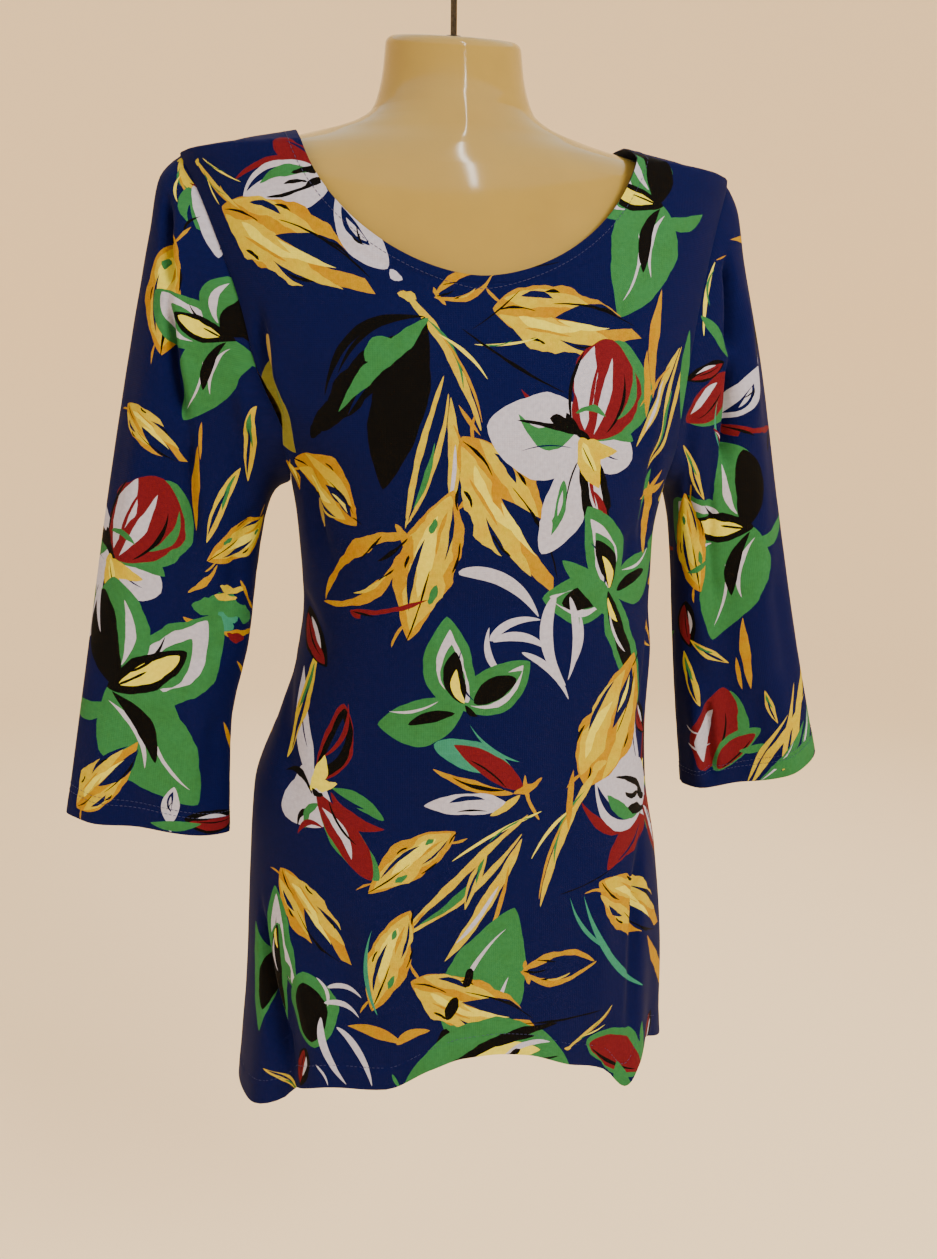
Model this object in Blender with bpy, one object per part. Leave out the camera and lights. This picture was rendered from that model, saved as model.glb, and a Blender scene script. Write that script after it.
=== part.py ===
"""A knitted tunic top, worn by a limbless dress form that hangs by its own wire hook.

Four cloth pieces (front, back, two sleeves) are walls that meet at their seams, the form is
one smooth body with a socket in its neck, and the hook stands in that socket.
Metres, +Z up. The front looks along -Y. The origin is inside the top of the hook's crook.
"""

import math

import bpy
import numpy as np

# ---- driving sizes, in metres; heights in the tables are above the shoulder tips ----
WALL = 0.0012  # the cloth
SEAM_GAP = 0.0003  # between two pieces at a seam
ARMPIT = -0.220  # height of the underarm point
NECK_POINT = 0.0185  # height where the shoulder seam meets the neckline
FRONT_NECK_DROP = 0.101
BACK_NECK_DROP = 0.020
CLOTH_SHIFT = 0.005  # the tunic sits this far to the viewer's right of the form's middle
WIRE_RADIUS = 0.00225
FIT = 0.0003  # clearance of the hook in its socket
SOCKET_DEPTH = 0.012
CROOK_RADIUS = 0.024  # to the middle of the wire
CROOK_HEIGHT = 0.1415  # of the crook's centre
CROOK_START, CROOK_END = -35.0, 205.0  # degrees round the crook's centre
STEM_TOP = 0.110  # where the straight stem ends
NUT_RADIUS, NUT_HEIGHT = 0.0055, 0.0022
CAP_EDGE = 0.006  # rounding of the neck's top edge
BASE_EDGE = 0.012  # rounding of the form's lower edge
HANG = CROOK_HEIGHT + CROOK_RADIUS - WIRE_RADIUS  # what the hook hangs on touches it here

# ---- how finely each piece is divided ----
COLUMNS = 32  # across the front and the back
ARM_EVENNESS = 0.6  # how evenly the columns are spaced between the armholes
EDGE_CROWDING = 0.12  # 0 spaces the columns evenly, more crowds them towards the side seams
SIDE_ROWS, ARM_ROWS, SHOULDER_ROWS = 14, 10, 4
SLEEVE_ROWS = 16
FORM_SIDES = 32
WIRE_SIDES = 8

# Level sections of the tunic. left and right are half widths, front and back are depths
# from the side seams, and squareness is the exponent of the section's superellipse.
BODY_COLUMNS = ("height", "left", "right", "front", "back", "squareness")
BODY = (
    (0.0185, 0.115, 0.115, 0.0600, 0.0560, 1.55),
    (0.0135, 0.137, 0.137, 0.0625, 0.0580, 1.65),
    (0.0080, 0.162, 0.162, 0.0655, 0.0600, 1.80),
    (0.0030, 0.183, 0.187, 0.0685, 0.0615, 1.95),
    (0.0000, 0.193, 0.200, 0.0705, 0.0630, 2.05),
    (-0.020, 0.189, 0.197, 0.0750, 0.0670, 2.15),
    (-0.045, 0.184, 0.193, 0.0820, 0.0720, 2.20),
    (-0.100, 0.173, 0.184, 0.0950, 0.0800, 2.30),
    (-0.140, 0.162, 0.177, 0.1050, 0.0810, 2.30),
    (-0.187, 0.144, 0.168, 0.1130, 0.0780, 2.30),
    (-0.220, 0.1235, 0.1560, 0.1150, 0.0740, 2.30),
    (-0.262, 0.1185, 0.1490, 0.1120, 0.0700, 2.30),
    (-0.305, 0.1165, 0.1490, 0.1080, 0.0690, 2.30),
    (-0.350, 0.1226, 0.1530, 0.1050, 0.0720, 2.30),
    (-0.400, 0.1390, 0.1520, 0.1030, 0.0790, 2.25),
    (-0.452, 0.1570, 0.1550, 0.1030, 0.0860, 2.20),
    (-0.512, 0.1620, 0.1660, 0.1040, 0.0890, 2.20),
    (-0.610, 0.1680, 0.1770, 0.1070, 0.0910, 2.15),
    (-0.670, 0.1740, 0.1790, 0.1090, 0.0920, 2.15),
    (-0.760, 0.1820, 0.1930, 0.1110, 0.0930, 2.15),
)

# Half width of the front and the back along the armhole seam.
ARMHOLE_COLUMNS = ("height", "left", "right")
ARMHOLE = (
    (0.000, 0.1930, 0.2000),
    (-0.020, 0.1830, 0.1910),
    (-0.044, 0.1735, 0.1820),
    (-0.103, 0.1536, 0.1655),
    (-0.140, 0.1455, 0.1585),
    (-0.187, 0.1275, 0.1530),
    (-0.208, 0.1235, 0.1530),
    (-0.220, 0.1235, 0.1560),
)

# The hem from the left side seam (-1) to the right one (1).
HEM_COLUMNS = ("across", "front", "back")
HEM = (
    (-1.00, -0.700, -0.700),
    (-0.91, -0.695, -0.703),
    (-0.83, -0.688, -0.707),
    (-0.76, -0.672, -0.706),
    (-0.62, -0.661, -0.704),
    (-0.38, -0.660, -0.701),
    (-0.19, -0.644, -0.699),
    (-0.05, -0.636, -0.698),
    (0.07, -0.635, -0.698),
    (0.22, -0.639, -0.698),
    (0.43, -0.656, -0.700),
    (0.60, -0.670, -0.701),
    (0.68, -0.688, -0.701),
    (0.75, -0.676, -0.701),
    (0.84, -0.668, -0.698),
    (1.00, -0.688, -0.688),
)

# Each sleeve's outer and inner edge seen from the front, from the armhole (along 0) to the
# cuff (along 1), how far back it hangs, half its depth, and how much lower its front hangs.
SLEEVE_COLUMNS = (
    "along",
    "outer_x",
    "outer_z",
    "inner_x",
    "inner_z",
    "swing",
    "half_depth",
    "front_drop",
)
SLEEVES = {
    "left": (
        (0.00, 0.1930, 0.000, 0.1235, -0.220, 0.000, 0.050, 0.000),
        (0.05, 0.2070, -0.015, 0.1320, -0.2235, 0.000, 0.049, 0.000),
        (0.12, 0.2145, -0.047, 0.1400, -0.237, 0.000, 0.046, 0.000),
        (0.30, 0.2340, -0.135, 0.1495, -0.284, 0.000, 0.038, 0.001),
        (0.50, 0.2536, -0.233, 0.1570, -0.337, -0.002, 0.031, 0.002),
        (0.75, 0.2750, -0.352, 0.1725, -0.405, -0.004, 0.027, 0.003),
        (1.00, 0.2956, -0.466, 0.1767, -0.488, -0.006, 0.021, -0.001),
    ),
    "right": (
        (0.00, 0.2000, 0.000, 0.1560, -0.220, 0.000, 0.050, 0.000),
        (0.05, 0.2100, -0.017, 0.1650, -0.2240, 0.002, 0.048, 0.000),
        (0.12, 0.2170, -0.048, 0.1720, -0.237, 0.004, 0.045, 0.000),
        (0.30, 0.2430, -0.133, 0.1795, -0.281, 0.012, 0.037, 0.002),
        (0.50, 0.2705, -0.229, 0.1880, -0.334, 0.025, 0.030, 0.005),
        (0.75, 0.3050, -0.350, 0.1995, -0.406, 0.039, 0.026, 0.009),
        (1.00, 0.3396, -0.463, 0.2135, -0.489, 0.050, 0.022, 0.009),
    ),
}
CAP_REACH = 0.30  # how far down a sleeve the armhole's own curve fades out

# Soft folds of the body. rise is outward; each runs from its top, growing to its foot.
FOLD_COLUMNS = ("across", "top", "foot", "width", "rise")
FOLDS = {
    "front": (
        (-0.90, -0.50, -0.72, 0.060, 0.006),
        (-0.80, -0.48, -0.72, 0.055, -0.011),
        (-0.66, -0.56, -0.72, 0.070, 0.007),
        (-0.30, -0.58, -0.70, 0.100, -0.003),
        (0.52, -0.56, -0.70, 0.090, -0.004),
        (0.73, -0.50, -0.72, 0.075, 0.010),
        (0.89, -0.52, -0.72, 0.055, -0.008),
    ),
    "back": (
        (-0.70, -0.40, -0.72, 0.090, 0.007),
        (-0.45, -0.42, -0.72, 0.080, -0.006),
        (-0.16, -0.38, -0.72, 0.085, 0.006),
        (0.14, -0.44, -0.72, 0.080, -0.006),
        (0.42, -0.40, -0.72, 0.085, 0.007),
        (0.72, -0.42, -0.72, 0.080, -0.006),
    ),
}

# Folds of the sleeves, each at an angle round the sleeve (0 outer edge, 90 front).
SLEEVE_FOLD_COLUMNS = ("angle", "top", "foot", "width", "rise")
SLEEVE_FOLDS = {
    "left": (
        (52.0, 0.04, 0.62, 15.0, 0.005),
        (84.0, 0.05, 0.70, 17.0, -0.006),
        (128.0, 0.35, 1.00, 20.0, 0.004),
        (262.0, 0.10, 0.90, 22.0, -0.005),
    ),
    "right": (
        (60.0, 0.06, 0.60, 16.0, 0.004),
        (105.0, 0.12, 1.00, 18.0, -0.006),
        (140.0, 0.30, 1.00, 16.0, 0.005),
        (255.0, 0.10, 0.90, 22.0, -0.005),
    ),
}

# Level sections of the dress form. tilt leans a section's plane down towards the front.
FORM_COLUMNS = ("height", "half", "front", "back", "squareness", "tilt")
FORM = (
    (0.0785, 0.0475, 0.0440, 0.0475, 2.00, 0.27),
    (0.0610, 0.0495, 0.0465, 0.0485, 2.00, 0.17),
    (0.0430, 0.0540, 0.0495, 0.0495, 2.00, 0.07),
    (0.0340, 0.0590, 0.0520, 0.0500, 1.85, 0.02),
    (0.0250, 0.0750, 0.0545, 0.0505, 1.65, 0.00),
    (0.0150, 0.1130, 0.0570, 0.0520, 1.52, 0.00),
    (0.0098, 0.1350, 0.0590, 0.0535, 1.60, 0.00),
    (0.0037, 0.1590, 0.0620, 0.0560, 1.74, 0.00),
    (-0.0028, 0.1740, 0.0650, 0.0580, 1.90, 0.00),
    (-0.0100, 0.1790, 0.0680, 0.0600, 2.05, 0.00),
    (-0.0450, 0.1740, 0.0775, 0.0670, 2.15, 0.00),
    (-0.1000, 0.1600, 0.0905, 0.0755, 2.25, 0.00),
    (-0.1400, 0.1480, 0.1005, 0.0765, 2.30, 0.00),
    (-0.1870, 0.1260, 0.1085, 0.0730, 2.30, 0.00),
    (-0.2200, 0.1120, 0.1100, 0.0690, 2.30, 0.00),
    (-0.2620, 0.1065, 0.1020, 0.0640, 2.30, 0.00),
    (-0.3050, 0.1040, 0.0930, 0.0620, 2.30, 0.00),
    (-0.3500, 0.1100, 0.0900, 0.0650, 2.30, 0.00),
    (-0.4000, 0.1230, 0.0910, 0.0720, 2.25, 0.00),
    (-0.4520, 0.1400, 0.0930, 0.0790, 2.20, 0.00),
    (-0.5120, 0.1460, 0.0930, 0.0810, 2.20, 0.00),
    (-0.5800, 0.1440, 0.0890, 0.0780, 2.20, 0.00),
)


# ---- tables ----
def slopes(at, values):
    """Slope at each row that keeps the curve between two rows from overshooting them."""
    step = np.diff(values) / np.diff(at)
    inner = np.where(
        step[:-1] * step[1:] > 0,
        2 * step[:-1] * step[1:] / (step[:-1] + step[1:] + 1e-30),
        0.0,
    )
    return np.concatenate([step[:1], inner, step[-1:]])


def column(rows, columns, name, at, key=0):
    """A named column of a table, read smoothly at any place along its key column."""
    table = np.array(sorted(rows, key=lambda row: row[key]), float)
    x, y = table[:, key], table[:, columns.index(name)]
    at = np.clip(np.asarray(at, float), x[0], x[-1])
    i = np.clip(np.searchsorted(x, at) - 1, 0, len(x) - 2)
    h = x[i + 1] - x[i]
    t = (at - x[i]) / h
    m = slopes(x, y)
    return (
        y[i] * (1 + 2 * t) * (1 - t) ** 2
        + y[i + 1] * t * t * (3 - 2 * t)
        + h * m[i] * t * (1 - t) ** 2
        - h * m[i + 1] * t * t * (1 - t)
    )


# ---- the body's front and back ----
def ring_width(height, across):
    """Half width of the tunic at a height, on the side that across lies on."""
    left = column(BODY, BODY_COLUMNS, "left", height)
    right = column(BODY, BODY_COLUMNS, "right", height)
    return np.where(across < 0, left, right)


def depth_at(x, height, face):
    """Distance of the cloth from the plane of the side seams: a superellipse at each level."""
    power = column(BODY, BODY_COLUMNS, "squareness", height)
    reach = np.clip(np.abs(x) / ring_width(height, x), 0.0, 1.0)
    return column(BODY, BODY_COLUMNS, face, height) * (1 - reach**power) ** (1 / power)


def body_panel(face):
    """Points of the front or back, [column, row], from the hem up to the neckline."""
    turn = np.linspace(-1.0, 1.0, COLUMNS + 1)
    turn = turn + EDGE_CROWDING * np.sin(turn * math.pi) / math.pi
    across = np.sin(turn * math.pi / 2)[:, None]
    edge_side = np.sign(across)
    hem = column(HEM, HEM_COLUMNS, face, across)
    drop = FRONT_NECK_DROP if face == "front" else BACK_NECK_DROP
    dish = {"front": (0.020, 0.092), "back": (0.0, 0.016)}[face]
    # hem to underarm
    rise = np.linspace(0.0, 1.0, SIDE_ROWS + 1)[None, :-1]
    underarm = ARMPIT - dish[0] * (1 - across**2)
    low_z = hem + (underarm - hem) * rise
    low_x = across * ring_width(low_z, across)
    # underarm to shoulder tip, along the armhole
    part = (1 - np.cos(np.linspace(0.0, math.pi, ARM_ROWS + 1)))[None, :] / 2
    edge_z = ARMPIT * (1 - part)
    sag = dish[0] + (dish[1] - dish[0]) * part
    power = 2.0 + 0.5 * part
    even = ARM_EVENNESS * np.clip(np.sin(math.pi * part), 0.0, 1.0) ** 0.4
    arm_across = across * (1 - even) + turn[:, None] * even
    arm_z = edge_z - sag * (1 - np.abs(arm_across) ** power)
    arm_x = arm_across * np.where(
        edge_side < 0,
        column(ARMHOLE, ARMHOLE_COLUMNS, "left", edge_z),
        column(ARMHOLE, ARMHOLE_COLUMNS, "right", edge_z),
    )
    # shoulder tip to neck point, along the shoulder seam
    part = np.linspace(0.0, 1.0, SHOULDER_ROWS + 1)[None, 1:]
    edge_z = NECK_POINT * part
    sag = dish[1] + (drop - dish[1]) * part
    power = 2.5 - 0.7 * part
    ease = 1.0 + (1 / 1.8 - 1.0) * part
    top_z = edge_z - sag * (1 - np.abs(across) ** power) ** ease
    top_x = across * ring_width(edge_z, across)
    x = np.concatenate([low_x, arm_x, top_x], axis=1)
    z = np.concatenate([low_z, arm_z, top_z], axis=1)
    y = depth_at(x, z, face) * (-1 if face == "front" else 1)
    points = np.stack([x, y, z], axis=-1)
    return points if face == "front" else points[::-1]


def fold_body(points, face):
    """Moves a panel's points out or in along its normals, one bell-shaped ridge per fold."""
    x, z = points[..., 0], points[..., 2]
    across = x / ring_width(z, x)
    height = np.zeros_like(x)
    for center, top, foot, width, rise in FOLDS[face]:
        grow = np.clip((top - z) / (top - foot), 0.0, 1.2)
        height += rise * grow**1.4 * np.exp(-(((across - center) / width) ** 2))
    return points + normals(points) * height[..., None]


# ---- sleeves ----
def sleeve_ring(side, angle, along):
    """A flattened tube: each ring is an ellipse on the line from outer to inner edge."""
    rows = SLEEVES[side]
    read = {name: column(rows, SLEEVE_COLUMNS, name, along) for name in SLEEVE_COLUMNS[1:]}
    share = (1 - np.cos(angle)) / 2
    sign = -1 if side == "left" else 1
    x = sign * (read["outer_x"] + (read["inner_x"] - read["outer_x"]) * share)
    z = read["outer_z"] + (read["inner_z"] - read["outer_z"]) * share
    z = z - read["front_drop"] * np.sin(angle) * (1 + 0.6 * np.cos(angle))
    y = read["swing"] - read["half_depth"] * np.sin(angle)
    return np.stack(np.broadcast_arrays(x, y, z), axis=-1)


def sleeve_points(side, armhole):
    """Points of a sleeve, [angle, row]; its first ring is the armhole of the body."""
    count = len(armhole)
    angle = np.linspace(0.0, 2 * math.pi, count, endpoint=False)[:, None]
    along = np.linspace(0.0, 1.0, SLEEVE_ROWS + 1)[None, :] ** 1.15
    points = sleeve_ring(side, angle, along)
    fade = np.clip(1 - along / CAP_REACH, 0.0, 1.0) ** 2
    points = points + (armhole[:, None] - points[:, :1]) * fade[..., None]
    height = np.zeros((count, SLEEVE_ROWS + 1))
    degrees = np.degrees(angle)
    for center, top, foot, width, rise in SLEEVE_FOLDS[side]:
        grow = np.sin(np.clip((along - top) / (foot - top), 0.0, 1.0) * math.pi * 0.75)
        height += rise * grow * np.exp(-(((degrees - center) / width) ** 2))
    return points + outward(side, points) * height[..., None]


def outward(side, points):
    """Normals of a sleeve; round the left one the rings turn the other way."""
    return normals(points, closed=True) * (-1 if side == "left" else 1)


# ---- walls ----
def normals(grid, closed=False):
    """Unit normals of a grid of points, from the steps to each point's neighbours."""
    if closed:
        du = np.roll(grid, -1, axis=0) - np.roll(grid, 1, axis=0)
    else:
        du = np.gradient(grid, axis=0)
    dv = np.gradient(grid, axis=1)
    n = np.cross(du, dv)
    return n / np.linalg.norm(n, axis=-1, keepdims=True)


def eased(n):
    """Normals averaged with their four neighbours; those on the piece's edges stay."""
    soft = n.copy()
    soft[1:-1, 1:-1] += n[:-2, 1:-1] + n[2:, 1:-1] + n[1:-1, :-2] + n[1:-1, 2:]
    return unit(soft)


def unit(v):
    return v / np.linalg.norm(v, axis=-1, keepdims=True)


def drawn_in(edge, normal, inside, closed=False):
    """Moves a seam's points half the gap into their own piece, square to the seam."""
    if closed:
        along = np.roll(edge, -1, axis=0) - np.roll(edge, 1, axis=0)
    else:
        along = np.gradient(edge, axis=0)
    square = unit(np.cross(unit(along), normal))
    sign = np.sign(np.sum(square * inside, axis=-1, keepdims=True))
    sign[sign == 0] = 1
    return edge + square * sign * SEAM_GAP / 2


def wall(name, outer, normal, closed, material):
    """A closed wall from a grid of outer points, WALL thick along the given normals."""
    nu, nv = outer.shape[:2]
    inner = outer - normal * WALL
    vertices = np.concatenate([outer.reshape(-1, 3), inner.reshape(-1, 3)])
    vertices[:, 0] += CLOTH_SHIFT
    count = nu * nv
    at = np.arange(count).reshape(nu, nv)
    faces = []

    def strip(a, b, c, d):
        quads = np.stack([a, b, c, d], axis=-1).reshape(-1, 4)
        faces.extend(quads[:, [0, 1, 2]].tolist())
        faces.extend(quads[:, [0, 2, 3]].tolist())

    if closed:
        next_u, here = np.roll(at, -1, axis=0), at
    else:
        next_u, here = at[1:], at[:-1]
    a, b, c, d = here[:, :-1], next_u[:, :-1], next_u[:, 1:], here[:, 1:]
    strip(a, b, c, d)
    inner_quads = np.stack([a, b, c, d], axis=-1).reshape(-1, 4) + count
    faces.extend(inner_quads[:, [0, 2, 1]].tolist())
    faces.extend(inner_quads[:, [0, 3, 2]].tolist())
    low_a, low_b = here[:, 0], next_u[:, 0]
    strip(low_b, low_a, low_a + count, low_b + count)
    top_a, top_b = here[:, -1], next_u[:, -1]
    strip(top_a, top_b, top_b + count, top_a + count)
    if not closed:
        left_a, left_b = at[0, :-1], at[0, 1:]
        strip(left_a, left_b, left_b + count, left_a + count)
        right_a, right_b = at[-1, :-1], at[-1, 1:]
        strip(right_b, right_a, right_a + count, right_b + count)
    return solid(name, vertices, faces, material)


def solid(name, vertices, faces, material):
    """A mesh object from points above the shoulder tips, moved to hang from the origin."""
    mesh = bpy.data.meshes.new(name)
    moved = np.asarray(vertices, float) - (0.0, 0.0, HANG)
    mesh.from_pydata(moved.tolist(), [], faces)
    mesh.validate()
    mesh.shade_smooth()
    mesh.set_sharp_from_angle(angle=math.radians(50))
    mesh.materials.append(material)
    piece = bpy.data.objects.new(name, mesh)
    bpy.context.scene.collection.objects.link(piece)
    return piece


def cloth(material):
    """Front, back and sleeves. Where two pieces meet they share points and normals."""
    front = fold_body(body_panel("front"), "front")
    back = fold_body(body_panel("back"), "back")
    first_arm = SIDE_ROWS
    tip = SIDE_ROWS + ARM_ROWS
    # the seams of the two panels lie in the plane of the side seams, below and above the armhole
    seam_rows = np.r_[0 : first_arm + 1, tip : front.shape[1]]
    for f, b in ((0, -1), (-1, 0)):
        middle = (front[f, seam_rows] + back[b, seam_rows]) / 2
        front[f, seam_rows] = back[b, seam_rows] = middle
    n_front, n_back = normals(front), normals(back)
    sleeves, n_sleeves = {}, {}
    loops = {"left": (0, -1), "right": (-1, 0)}
    for side, (f, b) in loops.items():
        down = front[f, first_arm : tip + 1][::-1]
        up = back[b, first_arm : tip + 1]
        loop = np.concatenate([down, up[1:-1]])
        sleeves[side] = ring = sleeve_points(side, loop)
        n_sleeves[side] = outward(side, ring)
        n_loop = n_sleeves[side][:, 0]
        # side and shoulder seams: front and back share a normal
        shared = unit(n_front[f] + n_back[b])
        n_front[f, seam_rows] = n_back[b, seam_rows] = shared[seam_rows]
        # armhole: the panels and the sleeve share a normal
        panel = np.concatenate(
            [n_front[f, first_arm : tip + 1][::-1], n_back[b, first_arm + 1 : tip]]
        )
        both = unit(panel + n_loop)
        n_front[f, first_arm : tip + 1] = both[: ARM_ROWS + 1][::-1]
        n_back[b, first_arm + 1 : tip] = both[ARM_ROWS + 1 :]
        n_back[b, first_arm], n_back[b, tip] = both[ARM_ROWS], both[0]
        n_sleeves[side][:, 0] = both
        inside = ring[:, 1] - ring[:, 0]
        ring[:, 0] = drawn_in(ring[:, 0], both, inside, closed=True)
    for panel, normal in ((front, n_front), (back, n_back)):
        for edge, step in ((0, 1), (-1, -2)):
            inside = panel[step] - panel[edge]
            panel[edge] = drawn_in(panel[edge], normal[edge], inside)
    wall("front", front, eased(n_front), False, material)
    wall("back", back, eased(n_back), False, material)
    for side in sleeves:
        turn = -1 if side == "left" else 1
        wall(f"sleeve_{side}", sleeves[side][::turn], n_sleeves[side][::turn], True, material)


# ---- dress form and hook ----
def ring_points(half, front, back, power, height, tilt):
    """One section of the form: a superellipse whose plane leans by tilt."""
    turn = np.linspace(0.0, 2 * math.pi, FORM_SIDES, endpoint=False)
    side, fore = np.sin(turn), -np.cos(turn)
    reach = (1 - np.abs(side) ** power) ** (1 / power)
    x = half * side
    y = np.where(fore < 0, -front, back) * reach
    return np.stack([x, y, height + tilt * y], axis=-1)


def form_rings():
    """Sections from the base up to the neck's top edge and down into the hook's socket."""
    heights = np.array([row[0] for row in FORM])[::-1]
    stations = np.unique(np.concatenate([heights, np.arange(-0.56, -0.22, 0.045)]))
    names = ("half", "front", "back", "squareness", "tilt")
    rows = [[float(column(FORM, FORM_COLUMNS, n, z)) for n in names] for z in stations]
    rings = []
    half, front, back, power, tilt = rows[0]
    for angle in np.radians((90.0, 60.0, 30.0)):
        cut = BASE_EDGE * (1 - math.cos(angle))
        low = stations[0] - BASE_EDGE * math.sin(angle)
        rings.append(ring_points(half - cut, front - cut, back - cut, power, low, tilt))
    for z, (half, front, back, power, tilt) in zip(stations, rows):
        rings.append(ring_points(half, front, back, power, z, tilt))
    for angle in np.radians((30.0, 60.0, 90.0)):
        cut = CAP_EDGE * (1 - math.cos(angle))
        high = stations[-1] + CAP_EDGE * math.sin(angle)
        rings.append(ring_points(half - cut, front - cut, back - cut, power, high, tilt))
    hole = WIRE_RADIUS + FIT
    rings.append(ring_points(hole, hole, hole, 2.0, neck_top(), tilt))
    rings.append(ring_points(hole, hole, hole, 2.0, neck_top() - SOCKET_DEPTH, 0.0))
    return np.array(rings)


def neck_top():
    return FORM[0][0] + CAP_EDGE


def dress_form(material):
    rings = form_rings()
    count, sides = rings.shape[:2]
    at = np.arange(count * sides).reshape(count, sides)
    faces = []
    for low, high in zip(at[:-1], at[1:]):
        for k in range(sides):
            j = (k + 1) % sides
            faces.append([low[k], low[j], high[j], high[k]])
    base, bottom = count * sides, count * sides + 1
    vertices = np.concatenate(
        [rings.reshape(-1, 3), rings[:1].mean(axis=1), rings[-1:].mean(axis=1)]
    )
    for k in range(sides):
        j = (k + 1) % sides
        faces.append([at[0, j], at[0, k], base])
        faces.append([at[-1, k], at[-1, j], bottom])
    faces = [[int(v) for v in face] for face in faces]
    return solid("dress_form", vertices, faces, material)


def hook_path():
    """Centre line of the wire: a straight stem, a swan neck and a round crook."""
    start = neck_top() - SOCKET_DEPTH + FIT
    stem = [(0.0, z) for z in np.linspace(start, STEM_TOP, 5)]
    first = math.radians(CROOK_START)
    arc = [
        (CROOK_RADIUS * math.cos(a), CROOK_HEIGHT + CROOK_RADIUS * math.sin(a))
        for a in np.radians(np.linspace(CROOK_START, CROOK_END, 25))
    ]
    reach = 0.010  # handle length of the swan neck's curve
    p0, p3 = np.array(stem[-1]), np.array(arc[0])
    p1 = p0 + (0.0, reach)
    p2 = p3 - reach * np.array((-math.sin(first), math.cos(first)))
    bend = []
    for t in np.linspace(0.0, 1.0, 7)[1:-1]:
        s = 1 - t
        bend.append(s**3 * p0 + 3 * s * s * t * p1 + 3 * s * t * t * p2 + t**3 * p3)
    return np.array(stem + [tuple(p) for p in bend] + arc)


def hook(material):
    path = hook_path()
    along = unit(np.gradient(path, axis=0))
    turn = np.linspace(0.0, 2 * math.pi, WIRE_SIDES, endpoint=False)
    rings = []
    for (x, z), (tx, tz) in zip(path, along):
        out = np.cos(turn) * WIRE_RADIUS
        rings.append(np.stack([x - tz * out, np.sin(turn) * WIRE_RADIUS, z + tx * out], -1))
    rings = np.array(rings)
    count = len(rings)
    at = np.arange(count * WIRE_SIDES).reshape(count, WIRE_SIDES)
    faces = []
    for low, high in zip(at[:-1], at[1:]):
        for k in range(WIRE_SIDES):
            j = (k + 1) % WIRE_SIDES
            faces.append([int(low[j]), int(low[k]), int(high[k]), int(high[j])])
    faces.append([int(v) for v in at[0]])
    faces.append([int(v) for v in at[-1][::-1]])
    return solid("hook", rings.reshape(-1, 3), faces, material)


def nut(material):
    """A flat collar round the stem, lying on the neck's sloping top."""
    tilt = FORM[0][-1]
    turn = np.linspace(0.0, 2 * math.pi, 24, endpoint=False)
    inner = WIRE_RADIUS + FIT
    low = neck_top() + FIT
    profile = (
        (inner, low),
        (NUT_RADIUS, low),
        (NUT_RADIUS, low + NUT_HEIGHT),
        (inner, low + NUT_HEIGHT),
    )
    rings = np.array(
        [
            np.stack([r * np.sin(turn), -r * np.cos(turn), z - tilt * r * np.cos(turn)], -1)
            for r, z in profile
        ]
    )
    at = np.arange(rings.shape[0] * 24).reshape(-1, 24)
    faces = []
    for low_ring, high_ring in zip(at, np.roll(at, -1, axis=0)):
        for k in range(24):
            j = (k + 1) % 24
            faces.append([int(v) for v in (low_ring[k], low_ring[j], high_ring[j], high_ring[k])])
    return solid("hook_nut", rings.reshape(-1, 3), faces, material)


def finish(name, colour, roughness, metallic=0.0):
    material = bpy.data.materials.new(name)
    material.use_nodes = True
    shader = material.node_tree.nodes["Principled BSDF"]
    shader.inputs["Base Color"].default_value = (*colour, 1.0)
    shader.inputs["Roughness"].default_value = roughness
    shader.inputs["Metallic"].default_value = metallic
    material.diffuse_color = (*colour, 1.0)
    return material


def main():
    for item in list(bpy.data.objects):
        bpy.data.objects.remove(item, do_unlink=True)
    cloth(finish("printed_jersey", (0.012, 0.030, 0.190), 0.62))
    dress_form(finish("cream_plastic", (0.80, 0.68, 0.42), 0.22))
    steel = finish("plated_wire", (0.42, 0.41, 0.40), 0.30, 1.0)
    hook(steel)
    nut(steel)


main()
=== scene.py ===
import math

import bpy
import numpy as np
from mathutils import Matrix, Vector
from mathutils.geometry import delaunay_2d_cdt


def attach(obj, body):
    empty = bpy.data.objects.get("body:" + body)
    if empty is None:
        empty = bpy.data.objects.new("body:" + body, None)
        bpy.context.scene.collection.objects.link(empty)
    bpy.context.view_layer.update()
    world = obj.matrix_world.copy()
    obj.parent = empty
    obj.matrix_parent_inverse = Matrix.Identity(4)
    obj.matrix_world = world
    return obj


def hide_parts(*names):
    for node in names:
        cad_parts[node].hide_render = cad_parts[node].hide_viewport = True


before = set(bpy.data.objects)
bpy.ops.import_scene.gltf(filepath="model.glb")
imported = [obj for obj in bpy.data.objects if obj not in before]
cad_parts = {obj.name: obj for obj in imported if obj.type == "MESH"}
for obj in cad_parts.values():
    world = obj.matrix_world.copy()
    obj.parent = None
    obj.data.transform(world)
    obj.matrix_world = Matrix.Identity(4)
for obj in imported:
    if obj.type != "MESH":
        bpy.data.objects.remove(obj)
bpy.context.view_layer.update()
sceneNow = bpy.context.scene

# Heights in the tables are above the shoulder tips; the frame's origin is inside the
# top of the hook's crook, this far above them.
hangs = {"belowHook": 0.16325, "clothToRight": 0.005}
clothPlace = (hangs["clothToRight"], 0, -hangs["belowHook"])
formPlace = (0, 0, -hangs["belowHook"])

studio = {
    "cameraPlace": (-0.1259, -0.7740, -0.1680),  # from the shoulder tips
    "cameraAim": (0.16985, 0.96328, -0.20791),
    "cameraRoll": 0.7,  # degrees
    "lens": 29.37,
    "nearest": 0.02,
    "farthest": 30,
    "floorDrop": 1.32,  # floor below the hook
    "floorRadius": 4.2,
    "floorBend": 1.4,  # radius of the quarter round between floor and wall
    "wallTop": 4.6,
    "steps": {"floor": 6, "bend": 14, "turn": 96},
    "floorColour": "#fbe6c2",
    "roomColour": "#fffaf4",
    "roomStrength": 1.33,
}
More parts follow.
